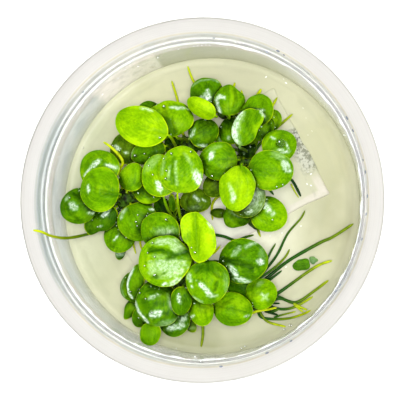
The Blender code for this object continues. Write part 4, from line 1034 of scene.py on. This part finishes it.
def makeThinRoots(material):
    bm = bmesh.new()
    tone = bm.verts.layers.float.new("tone")
    bm.verts.layers.float.new("knob")
    for route, first, last, thick in thinRoots:
        path = smoothPath([sightPoint(*point) for point in route], rhizomeShape["rootStep"] / 2)
        thicknesses = evenSteps(rhizomeShape["thinStart"], rhizomeShape["thinTip"], len(path))
        radii = [rhizomeShape["root"] * thick * share for share in thicknesses]
        growRoot(bm, path, radii, first, last, tone)
    bmesh.ops.recalc_face_normals(bm, faces=bm.faces[:])
    return finishPiece("roots_thin", bm, material, None, 1)


rhizomeMaterial = makeRhizomeMaterial()
for name, plan in plantlets.items():
    makePlantlet(name, plan, rhizomeMaterial)
makeThinRoots(rhizomeMaterial)
print("rhizomes and roots ready:", len(plantlets))


# Cup: the profile runs from the middle of the floor up the inside, over the flange and down the outside
cup = {
    "profile": [
        (0, 1.4), (37.7, 1.4), (39.7, 37.5), (40.6, 38.0), (40.6, 41.2), (41.3, 42.0), (45.0, 42.0),
        (45.0, 40.2), (44.2, 40.2), (44.2, 41.0), (41.4, 40.4), (41.4, 37.2), (40.5, 36.7), (38.5, 0.6),
        (37.9, 0), (0, 0)],
    "steps": 128,
    "rounding": 0.28,
    "sharp": 0.3,         # edges that turn by more than this are rounded
    "same": 0.0001,       # points closer than this are one
}
(wallFoot, wallStart), (wallTop, wallEnd) = cup["profile"][1:3]
wallSlope = (wallTop - wallFoot) / (wallEnd - wallStart)


def wallRadius(height):      # of the wall's inside
    return wallFoot + (height - wallStart) * wallSlope


def spinProfile(bm, profile, steps):
    points = [bm.verts.new((radius, 0.0, height)) for radius, height in profile]
    edges = [bm.edges.new(pair) for pair in zip(points, points[1:])]
    bmesh.ops.spin(bm, geom=points + edges, cent=(0, 0, 0), axis=(0, 0, 1), angle=math.tau, steps=steps,
                   use_merge=True)
    bmesh.ops.remove_doubles(bm, verts=bm.verts[:], dist=cup["same"])
    bmesh.ops.recalc_face_normals(bm, faces=bm.faces[:])


def makeCupMaterial():
    # a small emission strength, for the painted glow along the streak
    material, tree, shader = newMaterial("cup_plastic", (0.95, 0.96, 0.96, 1.0), {
        "Roughness": 0.3, "Transmission Weight": 0.8, "IOR": 1.49, "Emission Strength": 0.14})
    place = objectPlace(tree)
    x, y, z = split(place)
    radius, bearing = distance(vector(x, y)), calc("ARCTAN2", y, x)
    smudge = fleck(place, 130.0, 3.0, 0.6)
    lines = fleck(vector(times(radius, 2600.0)), 1.0, 2.0, 0.6)
    # painted light and shade: sides of the cup painted lighter, yellower or darker as the light falls on
    # them, and a painted streak of light
    left = ramp(x, -0.034, -0.006, 1.0, 0.0)
    right = ramp(x, 0.012, 0.036)
    far = ramp(plus(x, times(y, 0.4)), -0.005, 0.025)
    near = ramp(y, -0.036, -0.014, 0.9, 0.0)
    top = ramp(y, 0.030, 0.037, 0.0, 0.6)
    streak = times(ramp(bearing, 1.89, 1.92), ramp(bearing, 2.34, 2.4, 1.0, 0.0), ramp(z, 0.016, 0.018))
    # the wall low over the gel and misted above it, both with the painted light and shade of the sides, and
    # clear under the ledge
    low = cover(
        blend(ramp(smudge, 0.35, 0.7), paint(214, 218, 178), paint(226, 230, 194)),
        (left, paint(232, 236, 218)), (far, paint(250, 250, 220)), (near, paint(246, 248, 228)),
        (streak, paint(252, 248, 234)), (top, paint(206, 209, 176)))
    mist = cover(
        blend(ramp(smudge, 0.35, 0.7), paint(216, 222, 204), paint(230, 234, 218)),
        (left, blend(ramp(smudge, 0.4, 0.6), paint(228, 236, 236), paint(252, 254, 253))),
        (far, paint(250, 252, 240)),
        (near, blend(ramp(smudge, 0.4, 0.6), paint(242, 245, 236), paint(253, 253, 249))),
        (streak, paint(255, 250, 244)), (top, paint(206, 209, 180)))
    clear = blend(ramp(smudge, 0.35, 0.65), paint(244, 236, 230), paint(250, 247, 242))
    # the wall's bands by height, with a thin darker line, a white band under the ledge and painted light high
    # on the right side
    wall = cover(
        low,
        (ramp(z, 0.0165, 0.0245), mist),
        (ramp(z, 0.0300, 0.0312), clear),
        (stripe(z, 0.0305, 0.0002, 0.0006, 0.6), paint(196, 194, 170)),
        (ramp(z, 0.0335, 0.0345), paint(255, 255, 252)),
        (times(right, ramp(z, 0.026, 0.03)), paint(246, 246, 252)))
    # the ledge, with a thin line and painted blue-grey shade on the left side
    ledge = cover(
        blend(ramp(smudge, 0.4, 0.6), paint(224, 226, 226), paint(240, 238, 234)),
        (stripe(radius, 0.0412, 0.00012, 0.0003, 0.7), paint(196, 186, 150)),
        (ramp(x, -0.037, -0.030, 0.55, 0.0), paint(150, 168, 174)))
    flange = cover(
        blend(ramp(lines, 0.35, 0.65), paint(208, 206, 202), paint(216, 214, 211)),
        (ramp(radius, 0.0444, 0.0448), paint(196, 194, 188)))
    # a painted glow: emission along the streak, on the inner side of the wall, stands in for light caught
    # there
    inner = ramp(minus(radius, times(z, wallSlope)), 0.0378, 0.0382, 1.0, 0.0)
    lit = times(streak, inner, ramp(z, 0.0335, 0.0345, 1.0, 0.0))
    lit = times(lit, ramp(fleck(place, 520.0, 3.0, 0.7), 0.38, 0.5, 0.3, 1.0))
    fill(shader.inputs, {
        "Base Color": cover(wall, (ramp(z, 0.0368, 0.0375), ledge), (ramp(radius, 0.0413, 0.0416), flange)),
        "Roughness": ramp(radius, 0.0400, 0.0412, 0.2, 0.6),
        "Emission Color": blend(lit, (0, 0, 0, 1), paint(255, 248, 236))})
    return material


def isRing(edge):      # level, and all at one distance from the middle
    a, b = (vert.co for vert in edge.verts)
    return abs(a.z - b.z) < cup["same"] and abs(a.xy.length - b.xy.length) < cup["same"]


def makeCup(material):
    bm = bmesh.new()
    spinProfile(bm, cup["profile"], cup["steps"])
    rings = [edge for edge in bm.edges if isRing(edge) and edge.calc_face_angle(0) > cup["sharp"]]
    bmesh.ops.bevel(bm, geom=rings, offset=cup["rounding"], segments=3, profile=0.5, affect="EDGES",
                    material=-1)
    return finishPiece("cup_clear", bm, material, "cup")


makeCup(makeCupMaterial())
print("cup ready")


# Gel: a set disc, thicker where the plant's own block of gel was laid in it
gel = {
    "top": 17.0,
    "bottom": 1.7,
    "meniscus": 0.45,
    "meniscusWidth": 1.6,
    "meniscusStops": (0.35, 0.6, 0.8, 1.0),
    "gap": 0.05,          # between the gel and the wall
    "steps": 128,
    "ring": 1.2,          # distance between rings on the top
    "ripple": 0.12,
    "rippleSize": 9.0,
    "calm": 5.0,          # how far from the wall the ripple is full
}
gelBlock = {
    "corner": (31.0, 3.0),
    "bearings": (118.0, 207.0),
    "sides": (31.0, 54.0),
    "cells": (40, 60),
    "height": 0.35,
    "thickness": 0.8,
    "ragged": (0.012, 0.008),
    "waves": (9.0, 7.0),
    "seeds": (1.5, 8.5),
    "lumps": 0.1,
    "lumpSize": 6.0,
}


def blockFlaws(place, broad, fine, pale):      # a cleft, a hem and a seam near the corner of the block
    corner = Vector((*gelBlock["corner"], 0)) * mm
    offset = feed("VectorMath", {0: place, 1: corner}, operation="SUBTRACT")
    ways = [heading(bearing) for bearing in gelBlock["bearings"]]
    u, v = (feed("VectorMath", {0: offset, 1: way}, "Value", operation="DOT_PRODUCT") for way in ways)
    cleft = times(ramp(u, 0.006, 0.009), ramp(u, 0.017, 0.021, 1.0, 0.0), ramp(v, 0.0024, 0.0048, 1.0, 0.0))
    cleft = times(cleft, ramp(broad, 0.3, 0.5, 0.6, 1.0))
    silver = ramp(fleck(place, 1000.0, 2.0, 0.7), 0.42, 0.56)
    hem = times(ramp(u, 0.0045, 0.0070, 1.0, 0.0), ramp(v, 0.0020, 0.0030, 1.0, 0.0))
    hem = calc("MAXIMUM", hem, ramp(u, 0.0017, 0.0024, 1.0, 0.0))
    return [(cleft, blend(silver, paint(52, 62, 54), paint(190, 192, 180))),
            (times(hem, ramp(fine, 0.35, 0.6, pale * 2.5, pale * 1.6)), paint(212, 204, 194)),
            (times(stripe(v, 0.0038, 0.0002, 0.0005, pale), ramp(fine, 0.4, 0.6)), paint(150, 152, 136))]


def makeGelMaterial(name, pale=0.0):
    material, tree, shader = newMaterial(name, (0.86, 0.86, 0.7, 1.0), {
        "Roughness": 0.3, "Transmission Weight": 0.12, "IOR": 1.34, "Specular IOR Level": 0.15})
    place = objectPlace(tree)
    x, y = split(place)[:2]
    radius = distance(vector(x, y))
    broad = fleck(place, 45.0, 3.0, 0.55)
    fine = fleck(place, 420.0, 4.0, 0.65)
    swirl = fleck(vector(times(radius, 500.0), times(broad, 6.0)), 1.0)
    # painted light and shade: lightest in the middle, darker towards the rim and on the sides, where the wall
    # shades the gel, and lighter again in a ring along the wall; then tone patches and swirls over all
    right = blend(ramp(y, -0.004, 0.018), paint(160, 159, 122), paint(186, 185, 148))
    colour = cover(
        paint(250, 249, 232),
        (ramp(radius, 0.004, 0.032), paint(190, 190, 152)),
        (ramp(x, 0.014, 0.037), right),
        (ramp(x, -0.014, -0.036), paint(184, 188, 156)),
        (ramp(y, -0.010, -0.036), paint(158, 160, 122)),
        (times(ramp(y, 0.016, 0.030, 0.0, 0.4), ramp(x, -0.012, 0.010)), paint(158, 158, 128)),
        (ramp(y, 0.028, 0.036, 0.0, 0.35), paint(150, 150, 122)),
        (times(ramp(radius, 0.0364, 0.0378), ramp(minus(x, y), -0.04, 0.02, 0.25, 0.5)),
         paint(222, 222, 192)),
        (ramp(broad, 0.38, 0.62, 0.0, 0.3), paint(226, 224, 196)),
        (times(ramp(swirl, 0.45, 0.7, 0.0, 0.22), ramp(radius, 0.02, 0.036)), paint(160, 162, 130)),
        (ramp(fine, 0.45, 0.75, 0.0, 0.2), paint(176, 178, 150)))
    if pale:
        colour = cover(colour, (pale, paint(206, 205, 186)), *blockFlaws(place, broad, fine, pale))
    fill(shader.inputs, {"Base Color": colour, "Normal": bump(plus(broad, times(fine, 0.3)), 0.4, 0.0006)})
    return material


def makeGel(material):
    bm = bmesh.new()
    edge = wallRadius(gel["top"] + gel["meniscus"])
    rim = wallRadius(gel["top"]) - gel["meniscusWidth"]
    count = round(rim / gel["ring"])
    top = [(rim * i / count, gel["top"]) for i in range(count + 1)]
    curl = [(rim + (edge - gel["gap"] - rim) * share, gel["top"] + gel["meniscus"] * share * share)
            for share in gel["meniscusStops"]]
    under = [(wallRadius(gel["bottom"]) - gel["gap"], gel["bottom"]), (0, gel["bottom"])]
    spinProfile(bm, top + curl + under, gel["steps"])
    for vert in bm.verts:
        if vert.co.z > gel["top"] - gel["gap"]:      # the top alone
            share = min(1.0, (edge - vert.co.xy.length) / gel["calm"])
            ripple = noise.noise(vert.co.xy.to_3d() / gel["rippleSize"])
            vert.co.z -= share * gel["ripple"] * (0.5 + ripple)
    return finishPiece("gel_disc", bm, material, "gel")


def raggedness(plan, side, along):
    place = Vector((along * plan["waves"][side], plan["seeds"][side], 0))
    return plan["ragged"][side] * noise.noise(place)


def makeGelBlock(material):
    bm = bmesh.new()
    plan = gelBlock
    first, second = (heading(bearing) for bearing in plan["bearings"])
    bmesh.ops.create_grid(bm, x_segments=plan["cells"][0], y_segments=plan["cells"][1], size=1.0)
    corner = Vector((*plan["corner"], gel["top"] + plan["height"]))
    for vert in bm.verts:
        u, v = (vert.co.x + 1) / 2, (vert.co.y + 1) / 2
        u += raggedness(plan, 0, v) * (1 if u > 0.5 else -1)
        v += raggedness(plan, 1, u) * (1 if v > 0.5 else -1)
        vert.co = corner + first * (u * plan["sides"][0]) + second * (v * plan["sides"][1])
        vert.co.z += plan["lumps"] * noise.noise(vert.co / plan["lumpSize"])
    bmesh.ops.solidify(bm, geom=bm.faces[:], thickness=plan["thickness"])
    bmesh.ops.recalc_face_normals(bm, faces=bm.faces[:])
    return finishPiece("gel_block", bm, material, None, 1)


makeGel(makeGelMaterial("gel"))
makeGelBlock(makeGelMaterial("gel_block", 0.3))
print("gel ready")


# Two torn bits of leaf on the gel: middle, length, width, bearing, tint, how much painted highlight, outline
fragments = {
    "leaf_fragment_large": ((23.4, -15.5), 4.4, 3, 5, "dark", 0,
        (1, 1.2, 0.95, 0.8, 1, 1.15, 1, 1.2)),
    "leaf_fragment_small": ((26.5, -14.4), 2.2, 2, 0, "deep", 0.3,
        (1.2, 0.85, 0.95, 1.15, 0.8, 0.9, 1.1, 0.85)),
}
fragmentShape = {
    "cells": 12,
    "thickness": 0.35,
    "lift": 0.7,
    "torn": 0.08,
    "tornScale": 2.2,
    "curl": 0.2,
    "part": 0.5,          # how much of a whole leaf it is, and how far beside the midrib
    "beside": 0.3,
}


def makeFragment(name, plan):
    (x, y), length, width, bearing, tint, milk, outline = plan
    bm = bmesh.new()
    layers = {key: bm.verts.layers.float.new(key) for key in leafLayers}
    bmesh.ops.create_grid(bm, x_segments=fragmentShape["cells"], y_segments=fragmentShape["cells"], size=1.0)
    for vert in bm.verts:
        a, b, reach = discPoint(vert.co.x, vert.co.y, outline)
        vert[layers["along"]] = a * fragmentShape["part"]
        vert[layers["across"]] = b * fragmentShape["part"] + fragmentShape["beside"]
        vert[layers["margin"]] = 1.0
        vert[layers["milk"]] = milk
        reach += fragmentShape["torn"] * noise.noise(Vector((a, b, x)) * fragmentShape["tornScale"])
        curl = fragmentShape["curl"] * noise.noise(Vector((a, b, y)))
        vert.co = Vector((a * length / 2 * reach, b * width / 2 * reach, curl))
    bmesh.ops.solidify(bm, geom=bm.faces[:], thickness=fragmentShape["thickness"])
    bmesh.ops.recalc_face_normals(bm, faces=bm.faces[:])
    place = Matrix.Translation((x, y, gel["top"] + fragmentShape["lift"]))
    place = place @ Matrix.Rotation(math.radians(bearing), 4, "Z")
    bmesh.ops.transform(bm, matrix=place, verts=bm.verts[:])
    return finishPiece(name + "_torn", bm, leafMaterials[tint], name, 1)


for name, plan in fragments.items():
    makeFragment(name, plan)
print("fragments ready:", len(fragments))


# Drops of water on the cup and the gel, white dots on the gel that paint glints, and grey specks on the rim,
# each by column, row and radius. The drops on the leaves are among the leaves' marks.
wetSpots = [
    (164, 43.5, 0.45), (120, 60, 0.45), (125, 58.5, 0.4), (153, 47, 0.25), (178.5, 49, 0.3),
    (158, 57, 0.5), (227.5, 49, 0.35), (236, 42, 0.3), (240, 42.5, 0.3), (244, 43, 0.3), (194, 46, 0.25),
    (198, 45.5, 0.2), (202, 45, 0.25), (206, 44.8, 0.2), (210, 44.8, 0.25), (138, 66, 0.45),
    (125, 69, 0.3), (118, 78, 0.3), (102.5, 94, 0.3), (107.5, 69, 0.3), (58.5, 157, 0.3),
    (83.5, 148, 0.25), (345, 135, 0.35), (195.5, 359, 0.7), (201, 362, 0.5), (176.5, 349, 0.35),
    (224.5, 359, 0.3), (245.5, 347, 0.5), (241.5, 348.5, 0.35), (290, 325.5, 0.5), (284.5, 330, 0.5),
    (190.5, 364.5, 0.3),
]
gelGlints = [
    (266, 77, 0.25), (286, 83, 0.28), (283.5, 79, 0.14), (307, 184, 0.22), (311, 185.5, 0.25),
    (311, 174, 0.25), (308, 172, 0.15), (301, 226, 0.2), (282, 233, 0.2), (294.5, 269, 0.25),
    (286, 267, 0.2), (303, 108, 0.14), (270, 236, 0.15), (308, 135, 0.12), (312, 131, 0.12),
    (306, 118, 0.1),
]
specks = [
    (214, 38, 0.3), (83, 92, 0.3), (54.5, 170, 0.25), (347, 118, 0.45), (353, 130.5, 0.35),
    (363, 160, 0.25), (365.5, 172, 0.35), (367.5, 196, 0.35), (366, 214, 0.35), (362, 239, 0.3),
    (267, 353, 0.4), (221, 366.5, 0.35), (291, 341, 0.3), (278, 51, 0.4), (267, 52, 0.3), (284, 55, 0.25),
    (340, 285, 0.3), (336, 291, 0.3), (101, 87, 0.25), (92, 98, 0.2),
]


def wetPlaces(spots, names):      # where the spots lie on pieces of the cup
    trees = []
    for name in names:
        mesh = bpy.data.objects[name].data
        points = [vert.co / mm for vert in mesh.vertices]
        trees.append(BVHTree.FromPolygons(points, [face.vertices[:] for face in mesh.polygons]))
    places = []
    for column, row, radius in spots:
        hits = [hit for hit in (tree.ray_cast(eye, sightLine(column, row)) for tree in trees) if hit[0]]
        if hits:
            spot, out = min(hits, key=lambda hit: hit[3])[:2]
            places.append((spot, out, radius))
    return places


def makeTwoTone():      # two tones in soft patches
    inputs = {"First": "Color", "Second": "Color", "Scale": "Float"}
    tree, given, made = newGroup("twoTone", inputs, {"Color": "Color"})
    patches = ramp(fleck(objectPlace(tree), given["Scale"]), 0.4, 0.6)
    fill(made, {"Color": blend(patches, given["First"], given["Second"])})
    return tree


twoTone = makeTwoTone()


def makeTonedMaterial(name, first, second, scale, values):
    material, tree, shader = newMaterial(name, paint(*first), values)
    tones = {"First": paint(*first), "Second": paint(*second), "Scale": scale}
    fill(shader.inputs, {"Base Color": add(tree, "Group", tones, node_tree=twoTone)["Color"]})
    return material


# How far a dot is stretched along the surface, across it and out of it
dotStretch = {"speck": (1.3, 0.7, 0.25), "drop": (1, 1, 0.6), "gelGlint": (1.1, 0.6, 0.15), "glint": (1, 1, 1)}


def addDot(bm, kind, place, radius, subdivisions=2):
    place = place @ Matrix.Diagonal((*dotStretch[kind], 1))
    bmesh.ops.create_icosphere(bm, subdivisions=subdivisions, radius=radius, matrix=place)


def makeSpecks():
    material = makeTonedMaterial("speck", (110, 118, 136), (130, 138, 152), 900.0, {"Roughness": 0.5})
    bm = bmesh.new()
    for spot, out, radius in wetPlaces(specks, ["cup_clear"]):
        addDot(bm, "speck", upOn(spot, out), radius)
    return finishPiece("rim_specks", bm, material)


def makeDrops():
    material = makeTonedMaterial("water", (255, 255, 255), (250, 253, 255), 900.0, {
        "Roughness": 0.0, "Transmission Weight": 1.0, "IOR": 1.33})
    bm = bmesh.new()
    for spot, out, radius in drops:
        addDot(bm, "drop", upOn(spot, out), radius)
    bmesh.ops.recalc_face_normals(bm, faces=bm.faces[:])
    return finishPiece("water_drops", bm, material)


glints = {"size": 0.36, "smallest": 0.13, "largest": 0.2, "up": 0.6, "aside": Vector((-0.25, 0.25, 0))}


def makeGlints():      # painted glints: small white dots on the drops and on the gel
    material = makeTonedMaterial("glint", (255, 255, 255), (246, 250, 255), 900.0, {"Roughness": 0.4})
    bm = bmesh.new()
    for spot, out, radius in wetPlaces(gelGlints, ["gel_disc", "gel_block"]):
        addDot(bm, "gelGlint", upOn(spot, out), radius)
    for spot, out, radius in drops:
        size = min(glints["largest"], max(glints["smallest"], radius * glints["size"]))
        place = Matrix.Translation(spot + out * radius * glints["up"] + glints["aside"] * radius)
        addDot(bm, "glint", place, size, 1)
    return finishPiece("water_glints", bm, material)


wetRing = {
    "steps": 300,
    "height": 36.4,
    "sides": 6,
    "thickness": 0.28,
    "usual": 0.8,         # how thick it mostly is beside that, how thin it gets and how much it swells
    "thinnest": 0.35,
    "swell": 1.3,
    "swellScale": 9.0,
    "finer": 3.1,         # smaller swells beside the large ones: how much finer, and how strong
    "finerShare": 0.6,
    "set": (0.3, 0.4),    # how far its middle lies inwards and down, beside its thickness
}


def makeWetRing():      # a thin, uneven bead of water under the ledge, painted white as a highlight
    material = makeTonedMaterial("water_film_highlight", (255, 255, 255), (240, 244, 246), 300.0, {
        "Roughness": 0.25, "Transmission Weight": 0.3, "IOR": 1.33})
    bm = bmesh.new()
    tone = bm.verts.layers.float.new("tone")
    path, radii = [], []
    for step in range(wetRing["steps"] + 1):
        turn = math.tau * step / wetRing["steps"]
        out = Vector((math.cos(turn), math.sin(turn), 0))
        place = out * wetRing["swellScale"]
        swell = noise.noise(place) + wetRing["finerShare"] * noise.noise(place * wetRing["finer"])
        thick = wetRing["thickness"] * max(wetRing["thinnest"], wetRing["usual"] + wetRing["swell"] * swell)
        inwards, down = (thick * share for share in wetRing["set"])
        middle = out * (wallRadius(wetRing["height"]) - inwards)
        path.append(middle + Vector((0, 0, wetRing["height"] - down)))
        radii.append(thick)
    growTube(bm, path, radii, wetRing["sides"], tone, [0.0] * len(path))
    bmesh.ops.recalc_face_normals(bm, faces=bm.faces[:])
    return finishPiece("water_ring", bm, material)


makeWetRing()
drops += wetPlaces(wetSpots, ["cup_clear", "gel_disc", "gel_block"])
makeDrops()
makeGlints()
makeSpecks()
print("drops ready:", len(drops))


# Studio: a pale floor, an even white sky and a wide soft lamp over the cup, in metres
studio = {"floorRadius": 3.0, "floorDrop": 0.0002, "sky": 1.1, "lamp": 13.5, "lampSize": 0.4,
          "lampPlace": (0.13, -0.075, 1.2)}


def makeFloor():
    bm = bmesh.new()
    bmesh.ops.create_circle(bm, cap_ends=True, segments=64, radius=studio["floorRadius"])
    bmesh.ops.translate(bm, vec=(0, 0, -studio["floorDrop"]), verts=bm.verts[:])
    mesh = bpy.data.meshes.new("floor")
    bm.to_mesh(mesh)
    bm.free()
    values = {"Roughness": 0.8, "Specular IOR Level": 0.1}
    material, tree, shader = newMaterial("floor", paint(250, 250, 250), values)
    tone = blend(fleck(objectPlace(tree), 8.0), paint(250, 250, 249), paint(253, 253, 253))
    fill(shader.inputs, {"Base Color": tone})
    mesh.materials.append(material)
    floor = bpy.data.objects.new("floor", mesh)
    bpy.context.scene.collection.objects.link(floor)


def makeLight():
    world = bpy.data.worlds.new("sky")
    world.use_nodes = True
    fill(world.node_tree.nodes["Background"].inputs, {"Color": (1, 1, 1, 1), "Strength": studio["sky"]})
    bpy.context.scene.world = world
    lamp = bpy.data.lights.new("lamp", "AREA")
    lamp.shape = "DISK"
    lamp.size = studio["lampSize"]
    lamp.energy = studio["lamp"]
    obj = bpy.data.objects.new("lamp", lamp)
    obj.location = studio["lampPlace"]
    obj.rotation_euler = (-obj.location).to_track_quat("-Z", "Y").to_euler()
    bpy.context.scene.collection.objects.link(obj)


makeFloor()
makeLight()
print("studio ready")

bpy.context.view_layer.update()
